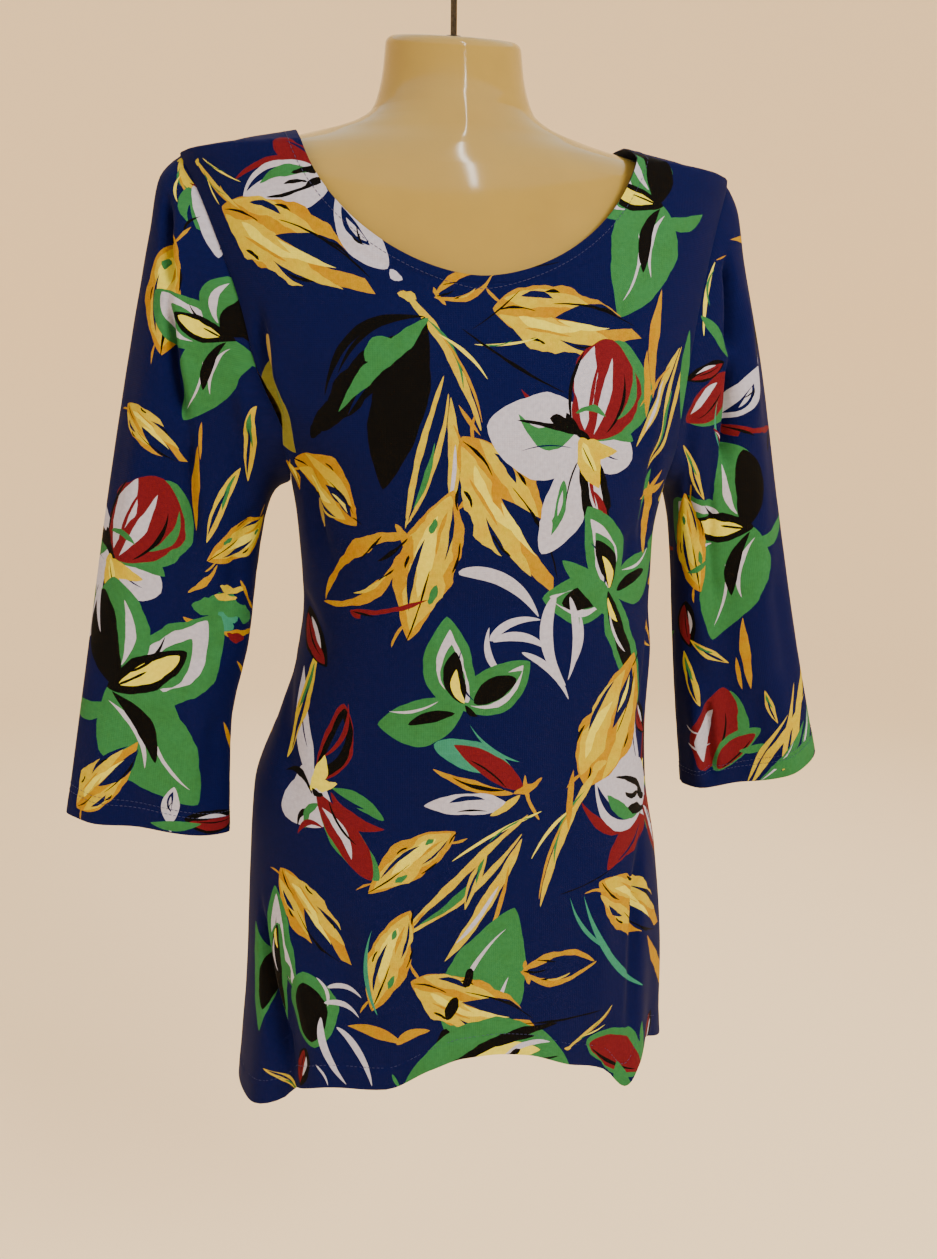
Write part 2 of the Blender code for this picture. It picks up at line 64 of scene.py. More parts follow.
# each lamp: place, target, width, height, watts, colour, whether gloss shows it and whether
# it lights matt surfaces
lamps = {
    "keyLight": ((1.3, -1.9, 0.75), (0, 0, -0.45), 0.9, 0.9, 80, "#fff6e8", False, True),
    "fillLight": ((-1.9, -1.5, 0.1), (0, 0, -0.5), 1.6, 1.6, 20, "#fffaf2", False, True),
    "backLight": ((0.6, 1.9, 0.7), (0, 0, -0.4), 1.3, 1.3, 22, "#fffaf2", False, True),
    "stripLight": ((0.25, -1.0, 1.10), (0.08, 0, -0.10), 0.026, 0.70, 2.4, "#ffffff", True, False),
}


def linear(hexColour):
    # sRGB hex to linear rgb
    raw = [int(hexColour.lstrip("#")[i : i + 2], 16) / 255 for i in (0, 2, 4)]
    return [c / 12.92 if c <= 0.04045 else ((c + 0.055) / 1.055) ** 2.4 for c in raw]


def addNode(tree, kind, settings=None, links=None, **properties):
    # one node, its socket values and the links into it
    node = tree.nodes.new(kind)
    for key, value in properties.items():
        setattr(node, key, value)
    for key, value in (settings or {}).items():
        node.inputs[key].default_value = value
    for key, source in (links or {}).items():
        tree.links.new(source, node.inputs[key])
    return node


def newMaterial(name, shaderValues):
    # a material with its Principled shader set from a dictionary of socket values
    material = bpy.data.materials.new(name)
    material.use_nodes = True
    shader = material.node_tree.nodes["Principled BSDF"]
    for key, value in shaderValues.items():
        shader.inputs[key].default_value = value
    return material, material.node_tree, shader


def newObject(mesh, material):
    # the mesh in its material, as an object at the origin
    mesh.materials.append(material)
    thing = bpy.data.objects.new(mesh.name, mesh)
    sceneNow.collection.objects.link(thing)
    return thing


def newPiece(name, points, faces, material, sharpAngle=None):
    # a smooth piece from an array of points and a list of faces, sharp at edges past the angle
    mesh = bpy.data.meshes.new(name)
    mesh.from_pydata(points.tolist(), [], faces)
    mesh.shade_smooth()
    if sharpAngle:
        mesh.set_sharp_from_angle(angle=math.radians(sharpAngle))
    return newObject(mesh, material)


def ringQuads(count, sides):
    # quads between neighbouring points of a count x sides grid that closes round its sides
    at = np.arange(count * sides).reshape(count, sides)
    ahead = np.roll(at, -1, axis=1)
    return np.stack([at[:-1], ahead[:-1], ahead[1:], at[1:]], -1).reshape(-1, 4)


def placeCamera():
    # looks along the aim, with its up axis turned round the aim by the roll
    camera = bpy.data.objects.new("photoCamera", bpy.data.cameras.new("photoCamera"))
    sceneNow.collection.objects.link(camera)
    aim = Vector(studio["cameraAim"]).normalized()
    flat = aim.cross(Vector((0, 0, 1))).normalized()
    up = flat.cross(aim)
    turn = math.radians(studio["cameraRoll"])
    side = flat * math.cos(turn) + up * math.sin(turn)
    over = up * math.cos(turn) - flat * math.sin(turn)
    x, y, z = studio["cameraPlace"]
    place = (x + hangs["clothToRight"], y, z - hangs["belowHook"])
    columns = (side, over, -aim)
    camera.matrix_world = Matrix(
        [[c[i] for c in columns] + [place[i]] for i in range(3)] + [[0, 0, 0, 1]]
    )
    camera.data.lens = studio["lens"]
    camera.data.clip_start = studio["nearest"]
    camera.data.clip_end = studio["farthest"]
    sceneNow.camera = camera


def roundStudio():
    # a profile turned round the z axis: flat floor, quarter round, upright wall
    steps, bendRadius, reach = studio["steps"], studio["floorBend"], studio["floorRadius"]
    bend = np.linspace(0, math.pi / 2, steps["bend"])[1:]
    flat = np.linspace(0.001, reach - bendRadius, steps["floor"])
    radius = np.r_[flat, reach - bendRadius + bendRadius * np.sin(bend), reach]
    height = np.r_[0 * flat, bendRadius * (1 - np.cos(bend)), studio["wallTop"]] - studio["floorDrop"]
    turn = np.linspace(0, 2 * math.pi, steps["turn"], endpoint=False)
    x, y = radius[:, None] * np.cos(turn), radius[:, None] * np.sin(turn)
    points = np.stack([x, y, height[:, None] + 0 * x], axis=-1)
    matt, tree, shader = newMaterial("mattStudioPaint", {"Roughness": 0.9, "Specular IOR Level": 0.2})
    shader.inputs["Base Color"].default_value = (*linear(studio["floorColour"]), 1)
    faces = ringQuads(*x.shape).tolist()
    newPiece("paleFloor", points.reshape(-1, 3), faces, matt)


def softLight(name, place, target, width, height, watts, colour, glossy, diffuse):
    # a rectangle of light that faces its target
    lamp = bpy.data.lights.new(name, "AREA")
    lamp.shape = "RECTANGLE"
    lamp.size, lamp.size_y = width, height
    lamp.energy = watts
    lamp.color = linear(colour)
    thing = bpy.data.objects.new(name, lamp)
    thing.visible_glossy, thing.visible_diffuse = glossy, diffuse
    thing.location = place
    thing.rotation_euler = (Vector(target) - Vector(place)).to_track_quat("-Z", "Y").to_euler()
    sceneNow.collection.objects.link(thing)


def lightRoom():
    # an even pale light from all round
    room = bpy.data.worlds.new("softRoomLight")
    room.use_nodes = True
    sky = room.node_tree.nodes["Background"]
    sky.inputs["Color"].default_value = (*linear(studio["roomColour"]), 1)
    sky.inputs["Strength"].default_value = studio["roomStrength"]
    sceneNow.world = room


placeCamera()
roundStudio()
for name, row in lamps.items():
    softLight(name, *row)
lightRoom()
print("camera, floor and light are set")


# level sections of the dressed body: height, left and right half width, front and back
# depth, squareness
bodySections = [
    (0.0185, 0.115, 0.115, 0.0600, 0.0560, 1.55),
    (0.0135, 0.137, 0.137, 0.0625, 0.0580, 1.65),
    (0.0080, 0.162, 0.162, 0.0655, 0.0600, 1.80),
    (0.0030, 0.183, 0.187, 0.0685, 0.0615, 1.95),
    (0.0000, 0.193, 0.200, 0.0705, 0.0630, 2.05),
    (-0.020, 0.189, 0.197, 0.0750, 0.0670, 2.15),
    (-0.045, 0.184, 0.193, 0.0820, 0.0720, 2.20),
    (-0.100, 0.173, 0.184, 0.0950, 0.0800, 2.30),
    (-0.140, 0.162, 0.177, 0.1050, 0.0810, 2.30),
    (-0.187, 0.144, 0.168, 0.1130, 0.0780, 2.30),
    (-0.220, 0.1235, 0.1560, 0.1150, 0.0740, 2.30),
    (-0.262, 0.1185, 0.1490, 0.1120, 0.0700, 2.30),
    (-0.305, 0.1165, 0.1490, 0.1080, 0.0690, 2.30),
    (-0.350, 0.1226, 0.1530, 0.1050, 0.0720, 2.30),
    (-0.400, 0.1390, 0.1520, 0.1030, 0.0790, 2.25),
    (-0.452, 0.1570, 0.1550, 0.1030, 0.0860, 2.20),
    (-0.512, 0.1620, 0.1660, 0.1040, 0.0890, 2.20),
    (-0.610, 0.1680, 0.1770, 0.1070, 0.0910, 2.15),
    (-0.670, 0.1740, 0.1790, 0.1090, 0.0920, 2.15),
    (-0.760, 0.1820, 0.1930, 0.1110, 0.0930, 2.15),
]
# half width along the armhole seam: height, left, right
armholeLine = [
    (0.000, 0.1930, 0.2000),
    (-0.020, 0.1830, 0.1910),
    (-0.044, 0.1735, 0.1820),
    (-0.103, 0.1536, 0.1655),
    (-0.140, 0.1455, 0.1585),
    (-0.187, 0.1275, 0.1530),
    (-0.208, 0.1235, 0.1530),
    (-0.220, 0.1235, 0.1560),
]
# hem from the left side seam to the right one: across, front height, back height
hemLine = [
    (-1.00, -0.700, -0.700),
    (-0.91, -0.695, -0.703),
    (-0.83, -0.688, -0.707),
    (-0.76, -0.672, -0.706),
    (-0.62, -0.661, -0.704),
    (-0.38, -0.660, -0.701),
    (-0.19, -0.644, -0.699),
    (-0.05, -0.636, -0.698),
    (0.07, -0.635, -0.698),
    (0.22, -0.639, -0.698),
    (0.43, -0.656, -0.700),
    (0.60, -0.670, -0.701),
    (0.68, -0.688, -0.701),
    (0.75, -0.676, -0.701),
    (0.84, -0.668, -0.698),
    (1.00, -0.688, -0.688),
]
bodyCut = {
    "armpit": -0.220,
    "neckPoint": 0.0185,
    "hemCorner": -0.700,
    "frontDish": (0.020, 0.092, 0.101),  # how far the middle hangs below the edge
    "backDish": (0.0, 0.016, 0.020),
    "dishPower": (2.0, 2.5, 1.8),  # of its curve at the armpit, the shoulder tips and the neck
    "ridgeStretch": 4.0,  # rows on the shoulder ridge are this much closer in height
    "wall": 0.0012,
}
# soft folds of the body: across, top, foot, width, rise (outward)
bodyFolds = {
    "front": [
        (-0.90, -0.50, -0.72, 0.060, 0.006),
        (-0.80, -0.48, -0.72, 0.055, -0.011),
        (-0.66, -0.56, -0.72, 0.070, 0.007),
        (-0.30, -0.58, -0.70, 0.100, -0.003),
        (0.52, -0.56, -0.70, 0.090, -0.004),
        (0.73, -0.50, -0.72, 0.075, 0.010),
        (0.89, -0.52, -0.72, 0.055, -0.008),
    ],
    "back": [
        (-0.70, -0.40, -0.72, 0.090, 0.007),
        (-0.45, -0.42, -0.72, 0.080, -0.006),
        (-0.16, -0.38, -0.72, 0.085, 0.006),
        (0.14, -0.44, -0.72, 0.080, -0.006),
        (0.42, -0.40, -0.72, 0.085, 0.007),
        (0.72, -0.42, -0.72, 0.080, -0.006),
    ],
}
# each sleeve: along, outer x and z, inner x and z, swing, half depth, front drop
sleeveSections = {
    "left": [
        (0.00, 0.1930, 0.000, 0.1235, -0.220, 0.000, 0.050, 0.000),
        (0.05, 0.2070, -0.015, 0.1320, -0.2235, 0.000, 0.049, 0.000),
        (0.12, 0.2145, -0.047, 0.1400, -0.237, 0.000, 0.046, 0.000),
        (0.30, 0.2340, -0.135, 0.1495, -0.284, 0.000, 0.038, 0.001),
        (0.50, 0.2536, -0.233, 0.1570, -0.337, -0.002, 0.031, 0.002),
        (0.75, 0.2750, -0.352, 0.1725, -0.405, -0.004, 0.027, 0.003),
        (1.00, 0.2956, -0.466, 0.1767, -0.488, -0.006, 0.021, -0.001),
    ],
    "right": [
        (0.00, 0.2000, 0.000, 0.1560, -0.220, 0.000, 0.050, 0.000),
        (0.05, 0.2100, -0.017, 0.1650, -0.2240, 0.002, 0.048, 0.000),
        (0.12, 0.2170, -0.048, 0.1720, -0.237, 0.004, 0.045, 0.000),
        (0.30, 0.2430, -0.133, 0.1795, -0.281, 0.012, 0.037, 0.002),
        (0.50, 0.2705, -0.229, 0.1880, -0.334, 0.025, 0.030, 0.005),
        (0.75, 0.3050, -0.350, 0.1995, -0.406, 0.039, 0.026, 0.009),
        (1.00, 0.3396, -0.463, 0.2135, -0.489, 0.050, 0.022, 0.009),
    ],
}
sleeveCut = {"length": 0.48, "most": 1.05, "armholeFade": 0.30, "dropLean": 0.6}
# folds of the sleeves: angle, top, foot, width, rise (outward)
sleeveFolds = {
    "left": [
        (52.0, 0.04, 0.62, 15.0, 0.005),
        (84.0, 0.05, 0.70, 17.0, -0.006),
        (128.0, 0.35, 1.00, 20.0, 0.004),
        (262.0, 0.10, 0.90, 22.0, -0.005),
    ],
    "right": [
        (60.0, 0.06, 0.60, 16.0, 0.004),
        (105.0, 0.12, 1.00, 18.0, -0.006),
        (140.0, 0.30, 1.00, 16.0, 0.005),
        (255.0, 0.10, 0.90, 22.0, -0.005),
    ],
}


def readTable(rows, place):
    # every column of a table at any place along its first one: a cubic between rows
    # whose slopes never overshoot them
    table = np.array(sorted(rows), float)
    x, y = table[:, 0], table[:, 1:]
    step = np.diff(y, axis=0) / np.diff(x)[:, None]
    both = step[:-1] * step[1:]
    inner = np.where(both > 0, 2 * both / (step[:-1] + step[1:] + 1e-30), 0.0)
    slope = np.concatenate([step[:1], inner, step[-1:]])
    at = np.clip(np.asarray(place, float), x[0], x[-1])
    i = np.clip(np.searchsorted(x, at) - 1, 0, len(x) - 2)
    gap = (x[i + 1] - x[i])[..., None]
    t = (at - x[i])[..., None] / gap
    value = (
        y[i] * (1 + 2 * t) * (1 - t) ** 2
        + y[i + 1] * t * t * (3 - 2 * t)
        + gap * slope[i] * t * (1 - t) ** 2
        - gap * slope[i + 1] * t * t * (1 - t)
    )
    return np.moveaxis(value, -1, 0)


def levelDepth(x, z, face):
    # superellipse: depth * (1 - (x / halfWidth) ** squareness) ** (1 / squareness)
    left, right, front, back, power = readTable(bodySections, z)
    reach = np.clip(np.abs(x) / np.where(x < 0, left, right), 0, 1)
    return (front if face == "front" else back) * (1 - reach**power) ** (1 / power)


def panelPoint(face, u, r):
    # u runs from the left seam (-1) to the right one (1), r is metres up the seam edge.
    # The middle of each row hangs below its ends by a dish that deepens to the neckline:
    # z = edge - depth * (1 - |across| ** power) ** ease
    edge = np.where(r > 0, r / bodyCut["ridgeStretch"], r)
    across = np.sin(u * math.pi / 2)
    away = np.abs(across)
    low, mid, neck = bodyCut[face + "Dish"]
    pitPower, tipPower, neckPower = bodyCut["dishPower"]
    frontHem, backHem = readTable(hemLine, across)
    hem = frontHem if face == "front" else backHem
    armpit, corner, top = bodyCut["armpit"], bodyCut["hemCorner"], bodyCut["neckPoint"]
    # the skirt: rows spread evenly between the hem and the armpit line
    rise = (edge - corner) / (armpit - corner)
    skirtZ = hem + (armpit - low * (1 - across**2) - hem) * rise
    left, right = readTable(bodySections, skirtZ)[:2]
    skirtX = across * np.where(u < 0, left, right)
    # beside the armholes
    part = np.clip(1 - edge / armpit, 0, 1)
    armZ = edge - (low + (mid - low) * part) * (1 - away ** (pitPower + (tipPower - pitPower) * part))
    left, right = readTable(armholeLine, edge)
    armX = across * np.where(u < 0, left, right)
    # along the shoulder seams
    part = np.clip(edge / top, 0, 1)
    ease = 1 + (1 / neckPower - 1) * part
    power = tipPower + (neckPower - tipPower) * part
    topZ = edge - (mid + (neck - mid) * part) * (1 - away**power) ** ease
    left, right = readTable(bodySections, edge)[:2]
    topX = across * np.where(u < 0, left, right)
    x = np.where(edge < armpit, skirtX, np.where(edge < 0, armX, topX))
    z = np.where(edge < armpit, skirtZ, np.where(edge < 0, armZ, topZ))
    y = levelDepth(x, z, face) * (-1 if face == "front" else 1)
    return np.stack([x, y, z], axis=-1)


def sleeveRing(side, angle, along):
    # a flat ellipse on the line from the sleeve's outer edge to its inner one
    outX, outZ, inX, inZ, swing, deep, drop = readTable(sleeveSections[side], along)
    share = (1 - np.cos(angle)) / 2
    x = (-1 if side == "left" else 1) * (outX + (inX - outX) * share)
    sag = drop * np.sin(angle) * (1 + sleeveCut["dropLean"] * np.cos(angle))
    return np.stack([x, swing - deep * np.sin(angle), outZ + (inZ - outZ) * share - sag], axis=-1)


def sleevePoint(side, u, r):
    # u runs round the sleeve from the underarm seam (-1) by the back, the outer edge (0)
    # and the front to the seam again; r is metres down it. Near the top a ring keeps the
    # armhole's curve: ring + (armhole - first ring) * (1 - along / fade) ** 2
    along = np.clip(r / sleeveCut["length"], 0, sleeveCut["most"])
    angle = u * math.pi
    holeZ = bodyCut["armpit"] * (1 - np.cos(angle)) / 2
    left, right = readTable(armholeLine, holeZ)
    holeX = -left if side == "left" else right
    holeY = np.where(u >= 0, -levelDepth(holeX, holeZ, "front"), levelDepth(holeX, holeZ, "back"))
    fade = np.clip(1 - along / sleeveCut["armholeFade"], 0, 1) ** 2
    change = np.stack([holeX, holeY, holeZ], axis=-1) - sleeveRing(side, angle, 0 * along)
    return sleeveRing(side, angle, along) + change * fade[..., None]


def unitVectors(v):
    # each vector divided by its length
    return v / np.maximum(np.linalg.norm(v, axis=-1, keepdims=True), 1e-12)


# the cloth's pieces: solid, half width and rows of the rectangle that is printed, the axis
# of their flat measures, the side that faces out, and the sizes of the sheet in metres
pieces = {
    "front": {
        "node": "front",
        "span": 0.23,
        "rows": (-0.70, 0.074),
        "axis": (0.0, 0.0, 1.0),
        "flip": 1,
        "flat": (0.46, 0.73),
        "area": 0.258,
    },
    "back": {
        "node": "back",
        "span": 0.23,
        "rows": (-0.70, 0.074),
        "axis": (0.0, 0.0, 1.0),
        "flip": -1,
        "flat": (0.46, 0.74),
        "area": 0.269,
    },
    "left": {
        "node": "sleeve_left",
        "span": 0.17,
        "rows": (0.0, 0.48),
        "axis": (0.21, 0.0, 0.978),
        "flip": -1,
        "flat": (0.37, 0.49),
        "area": 0.111,
    },
    "right": {
        "node": "sleeve_right",
        "span": 0.17,
        "rows": (0.0, 0.48),
        "axis": (-0.25, 0.0, 0.968),
        "flip": 1,
        "flat": (0.37, 0.49),
        "area": 0.109,
    },
}
panels = ("front", "back")
flatTable = {"across": 161, "up": 241, "leanFrom": -0.05, "lean": 7}


def basePoint(piece, u, r):
    # a point of the plain cloth for each u and r, whether panel or sleeve
    return panelPoint(piece, u, r) if piece in panels else sleevePoint(piece, u, r)


def flatGrid(piece):
    # across: length round the piece from its middle line, measured square to its axis;
    # up: height along the axis, longer where a panel leans back to the shoulder, by
    # lean * (height over leanFrom) ** 2
    low, high = pieces[piece]["rows"]
    places = np.linspace(-1, 1, flatTable["across"]), np.linspace(low, high, flatTable["up"])
    u, r = np.meshgrid(*places, indexing="ij")
    where = basePoint(piece, u, r)
    axis = np.array(pieces[piece]["axis"])
    step = np.diff(where, axis=0)
    square = step - (step @ axis)[..., None] * axis
    q = np.concatenate([0 * u[:1], np.cumsum(np.linalg.norm(square, axis=-1), axis=0)])
    q = q - q[len(q) // 2]
    h = where @ axis
    if piece in panels:
        h = h + flatTable["lean"] * np.maximum(0, where[..., 2] - flatTable["leanFrom"]) ** 2
    return {"u": u, "r": r, "q": q, "h": h}


# brush shapes painted in order. Columns: ink, from x and y, to x and y, half width, bow,
# belly (below 1 is fullest near its start), bluntness, roughness of the edge; lengths are
# parts of the motif's own length, which runs from its base up to its tip
motifs = {
    "eyeLeaf": [
        ("gold", 0, 0, 0, 1, 0.18, 0.03, 0.76, 1, 0.09),
        ("gold", 0.03, 0.1, 0.12, -0.06, 0.01, 0.02, 1, 0.6, 0.3),
        ("yellow", -0.03, 0.04, -0.06, 0.84, 0.092, -0.05, 0.85, 0.9, 0.22),
        ("yellow", 0.07, 0.06, 0.1, 0.66, 0.05, 0.03, 0.8, 0.9, 0.22),
        ("pale", -0.02, 0.16, -0.03, 0.56, 0.03, -0.03, 0.8, 0.9, 0.25),
        ("navy", 0.01, 0.38, 0.05, 0.94, 0.07, 0.04, 1, 1, 0.1),
        ("pale", 0, 0.4, 0.02, 0.76, 0.02, -0.02, 0.8, 1, 0.15),
        ("navy", -0.11, 0.42, -0.04, 0.9, 0.022, -0.05, 1, 1, 0.2),
        ("navy", 0.1, 0.16, 0.12, 0.36, 0.02, 0.02, 1, 0.9, 0.2),
        ("black", 0.09, 0.36, 0.06, 0.94, 0.007, 0.04, 1, 0.6, 0.35),
        ("black", -0.01, 0.02, 0.03, 0.26, 0.007, 0.02, 1, 0.6, 0.35),
        ("black", -0.14, 0.24, -0.15, 0.34, 0.01, 0.01, 1, 0.5, 0.35),
        ("black", -0.13, 0.52, -0.1, 0.68, 0.008, -0.01, 1, 0.5, 0.35),
        ("black", 0.15, 0.3, 0.16, 0.4, 0.009, 0.01, 1, 0.5, 0.35),
        ("black", 0.12, 0.66, 0.1, 0.8, 0.007, 0.01, 1, 0.5, 0.35),
        ("gold", -0.08, 0.2, -0.08, 0.5, 0.01, 0, 1, 0.8, 0.3),
    ],
    "fullLeaf": [
        ("gold", 0, 0, 0, 1, 0.185, 0.03, 0.95, 0.85, 0.09),
        ("gold", -0.05, 0.12, -0.12, -0.05, 0.012, 0.01, 1, 0.6, 0.3),
        ("gold", 0.05, 0.9, 0.09, 1.08, 0.01, 0.01, 1, 0.6, 0.3),
        ("yellow", 0.01, 0.04, 0, 0.94, 0.14, 0.02, 0.95, 0.85, 0.18),
        ("pale", 0.05, 0.18, 0.02, 0.72, 0.058, 0.02, 0.9, 0.9, 0.24),
        ("green", -0.07, 0.6, -0.06, 0.74, 0.026, 0, 1, 0.6, 0.25),
        ("green", 0.06, 0.2, 0.06, 0.3, 0.022, 0, 1, 0.6, 0.25),
        ("navy", 0.085, 0.34, 0.05, 0.82, 0.02, 0.03, 1, 0.9, 0.2),
        ("navy", -0.02, 0.1, -0.07, 0.44, 0.012, -0.02, 1, 0.9, 0.3),
        ("black", 0, 0.52, 0.01, 1.02, 0.007, -0.01, 1, 0.6, 0.35),
        ("black", -0.13, 0.3, -0.14, 0.5, 0.008, -0.01, 1, 0.5, 0.35),
        ("black", 0.14, 0.44, 0.15, 0.56, 0.009, 0.01, 1, 0.5, 0.35),
        ("black", -0.02, -0.02, -0.06, 0.12, 0.008, 0.01, 1, 0.5, 0.35),
        ("gold", 0, 0.14, -0.01, 0.42, 0.014, 0.01, 1, 0.8, 0.3),
    ],
    "broadLeaf": [
        ("gold", 0, 0, 0, 1, 0.28, 0.04, 0.85, 0.85, 0.08),
        ("gold", -0.06, 0.1, -0.14, -0.06, 0.012, 0.01, 1, 0.6, 0.3),
        ("yellow", -0.08, 0.06, -0.05, 0.86, 0.12, -0.04, 0.9, 0.85, 0.18),
        ("yellow", 0.12, 0.08, 0.1, 0.84, 0.075, 0.06, 0.9, 0.85, 0.2),
        ("pale", -0.1, 0.18, -0.06, 0.62, 0.045, -0.04, 0.9, 0.9, 0.24),
        ("navy", 0.04, 0.44, 0.02, 0.9, 0.062, 0.03, 1.1, 0.9, 0.12),
        ("pale", 0.03, 0.56, 0.02, 0.84, 0.018, 0.02, 1, 0.9, 0.15),
        ("navy", -0.17, 0.36, -0.12, 0.76, 0.02, -0.03, 1, 0.9, 0.2),
        ("black", 0.1, 0.42, 0.06, 0.9, 0.008, 0.03, 1, 0.6, 0.35),
        ("black", -0.22, 0.26, -0.22, 0.4, 0.01, -0.01, 1, 0.5, 0.35),
        ("black", 0.24, 0.34, 0.24, 0.46, 0.01, 0.01, 1, 0.5, 0.35),
        ("black", 0, -0.03, -0.03, 0.14, 0.01, 0.01, 1, 0.5, 0.35),
        ("black", 0.02, 0.9, 0.05, 1.04, 0.008, 0.01, 1, 0.5, 0.35),
    ],
    "openLeaf": [
        ("gold", 0, 0, 0.02, 1, 0.042, 0.19, 0.85, 0.5, 0.3),
        ("gold", 0, 0.02, 0.02, 0.97, 0.05, -0.17, 0.8, 0.5, 0.35),
        ("gold", -0.14, 0.06, 0.18, 0.12, 0.034, 0.02, 1, 0.5, 0.35),
        ("black", -0.12, 0.2, -0.06, 0.46, 0.01, 0, 1, 0.5, 0.35),
        ("black", 0.14, 0.26, 0.16, 0.44, 0.01, 0, 1, 0.5, 0.35),
        ("black", 0, 0.04, 0.02, 0.34, 0.014, 0.02, 1, 0.5, 0.35),
        ("yellow", 0.15, 0.34, 0.12, 0.66, 0.015, 0.03, 1, 0.6, 0.3),
    ],
    "blossom": [
        ("green", 0.02, 0, -0.95, -0.05, 0.27, -0.08, 0.95, 0.75, 0.04),
        ("white", -0.25, 0.1, -0.8, 0.08, 0.016, -0.05, 1, 0.8, 0.15),
        ("black", -0.1, -0.07, -0.62, -0.1, 0.062, 0.03, 1, 0.6, 0.08),
        ("green", -0.05, -0.02, 0.8, 0.32, 0.27, 0.05, 0.95, 0.75, 0.04),
        ("white", 0.02, 0.03, 0.72, 0.3, 0.155, 0.1, 0.9, 0.8, 0.08),
        ("green", 0.02, 0.02, 0.7, 0.24, 0.135, 0.03, 0.9, 0.8, 0.08),
        ("black", 0.12, 0, 0.62, 0.17, 0.13, -0.02, 1, 0.55, 0.06),
        ("green", 0, -0.05, 0, 1, 0.27, -0.08, 0.85, 0.75, 0.04),
        ("white", 0.06, 0.02, 0.01, 0.86, 0.15, -0.1, 0.85, 0.8, 0.08),
        ("navy", 0.13, 0.02, 0.09, 0.62, 0.02, -0.1, 1, 0.7, 0.1),
        ("green", -0.02, 0.05, 0, 0.7, 0.125, -0.05, 0.85, 0.8, 0.08),
        ("black", 0, 0.02, 0.02, 0.62, 0.12, -0.05, 0.95, 0.7, 0.08),
        ("pale", 0.02, 0.02, 0, 0.42, 0.05, -0.05, 0.9, 0.7, 0.1),
        ("black", 0.02, 0, 0.14, -0.16, 0.03, 0.02, 1, 0.6, 0.2),
    ],
    "longBlossom": [
        ("green", 0, 0.02, 0.92, -0.02, 0.26, -0.1, 0.95, 0.7, 0.05),
        ("white", 0.06, 0, 0.82, -0.05, 0.18, -0.1, 0.95, 0.75, 0.06),
        ("green", 0.06, 0.02, 0.66, 0, 0.125, -0.08, 0.95, 0.7, 0.08),
        ("green", 0.02, 0.04, 0.42, -0.6, 0.22, 0, 1.05, 0.65, 0.05),
        ("white", 0.14, -0.08, 0.4, -0.44, 0.03, -0.05, 1, 0.7, 0.15),
        ("black", 0.02, 0.02, 0.28, -0.58, 0.135, 0.05, 1.05, 0.6, 0.05),
        ("green", -0.06, 0.12, -0.46, -0.16, 0.07, 0.08, 0.9, 0.8, 0.08),
        ("green", 0.04, -0.02, 0.03, 1, 0.31, -0.04, 0.76, 0.75, 0.04),
        ("white", -0.08, 0.08, -0.13, 0.6, 0.026, 0.08, 1, 0.8, 0.15),
        ("white", 0.1, 0.34, 0.05, 0.88, 0.013, -0.06, 1, 0.8, 0.15),
        ("black", -0.02, 0.04, -0.04, 0.6, 0.062, 0.06, 1.2, 0.7, 0.08),
        ("black", -0.04, 0, 0.58, 0.06, 0.125, -0.03, 1, 0.7, 0.08),
        ("pale", 0.05, 0.02, 0.52, 0.06, 0.072, -0.02, 1.1, 0.65, 0.1),
        ("black", 0.02, 0.02, 0.26, 0.04, 0.01, 0, 1, 0.6, 0.2),
        ("black", 0.1, -0.04, 0.5, -0.1, 0.012, -0.06, 1, 0.6, 0.2),
    ],
    "tricolour": [
        ("white", 0.03, -0.03, -0.17, -1.18, 0.245, -0.05, 1.05, 0.65, 0.04),
        ("green", -0.12, -0.42, -0.12, -0.98, 0.062, -0.03, 0.8, 0.9, 0.12),
        ("white", -0.11, -0.52, -0.1, -0.78, 0.022, 0, 1, 0.9, 0.1),
        ("black", 0.02, -0.1, -0.04, -0.66, 0.009, 0.04, 1, 0.6, 0.2),
        ("red", -0.04, 0.26, -0.74, 0.34, 0.05, -0.14, 0.9, 0.8, 0.14),
        ("white", 0.05, 0.04, -1, -0.08, 0.42, -0.05, 0.84, 0.62, 0.03),
        ("green", -0.06, 0.16, -0.72, 0.1, 0.11, -0.2, 0.8, 0.7, 0.16),
        ("black", -0.04, 0.05, -0.72, 0.04, 0.03, 0.02, 0.6, 0.7, 0.2),
        ("black", -0.14, 0.14, -0.4, 0.13, 0.05, 0, 1, 0.5, 0.25),
        ("navy", -0.1, -0.1, -0.62, -0.24, 0.006, 0.04, 1, 0.6, 0.2),
        ("red", 0.06, 0.02, 0.54, 0.36, 0.13, -0.05, 1, 0.7, 0.1),
        ("white", 0.08, -0.02, 0.64, -0.06, 0.235, 0, 0.95, 0.6, 0.04),
        ("green", 0.2, 0.08, 0.6, 0.12, 0.085, -0.06, 1, 0.7, 0.08),
        ("navy", 0.16, -0.04, 0.46, -0.1, 0.008, 0.02, 1, 0.6, 0.2),
        ("green", 0.08, 0.02, 0.3, 1.06, 0.43, 0.09, 1.04, 0.58, 0.05),
        ("red", 0.05, 0.02, 0.15, 1.04, 0.42, 0.06, 1.04, 0.58, 0.07),
        ("white", -0.01, 0.1, -0.06, 0.92, 0.125, -0.05, 1.1, 0.85, 0.16),
        ("white", 0.1, 0.08, 0.17, 0.86, 0.055, 0.03, 1.05, 0.85, 0.18),
        ("red", 0.03, 0.16, 0.02, 0.8, 0.022, -0.02, 1, 0.8, 0.2),
        ("black", -0.16, 0.14, -0.16, 0.84, 0.02, -0.08, 1, 0.7, 0.2),
        ("black", 0.24, 0.12, 0.34, 0.74, 0.02, 0.08, 1, 0.7, 0.2),
        ("green", 0.34, 0.28, 0.44, 0.82, 0.045, 0.1, 1, 0.7, 0.15),
        ("black", 0.04, -0.02, 0.5, -0.92, 0.175, 0.02, 1.05, 0.75, 0.07),
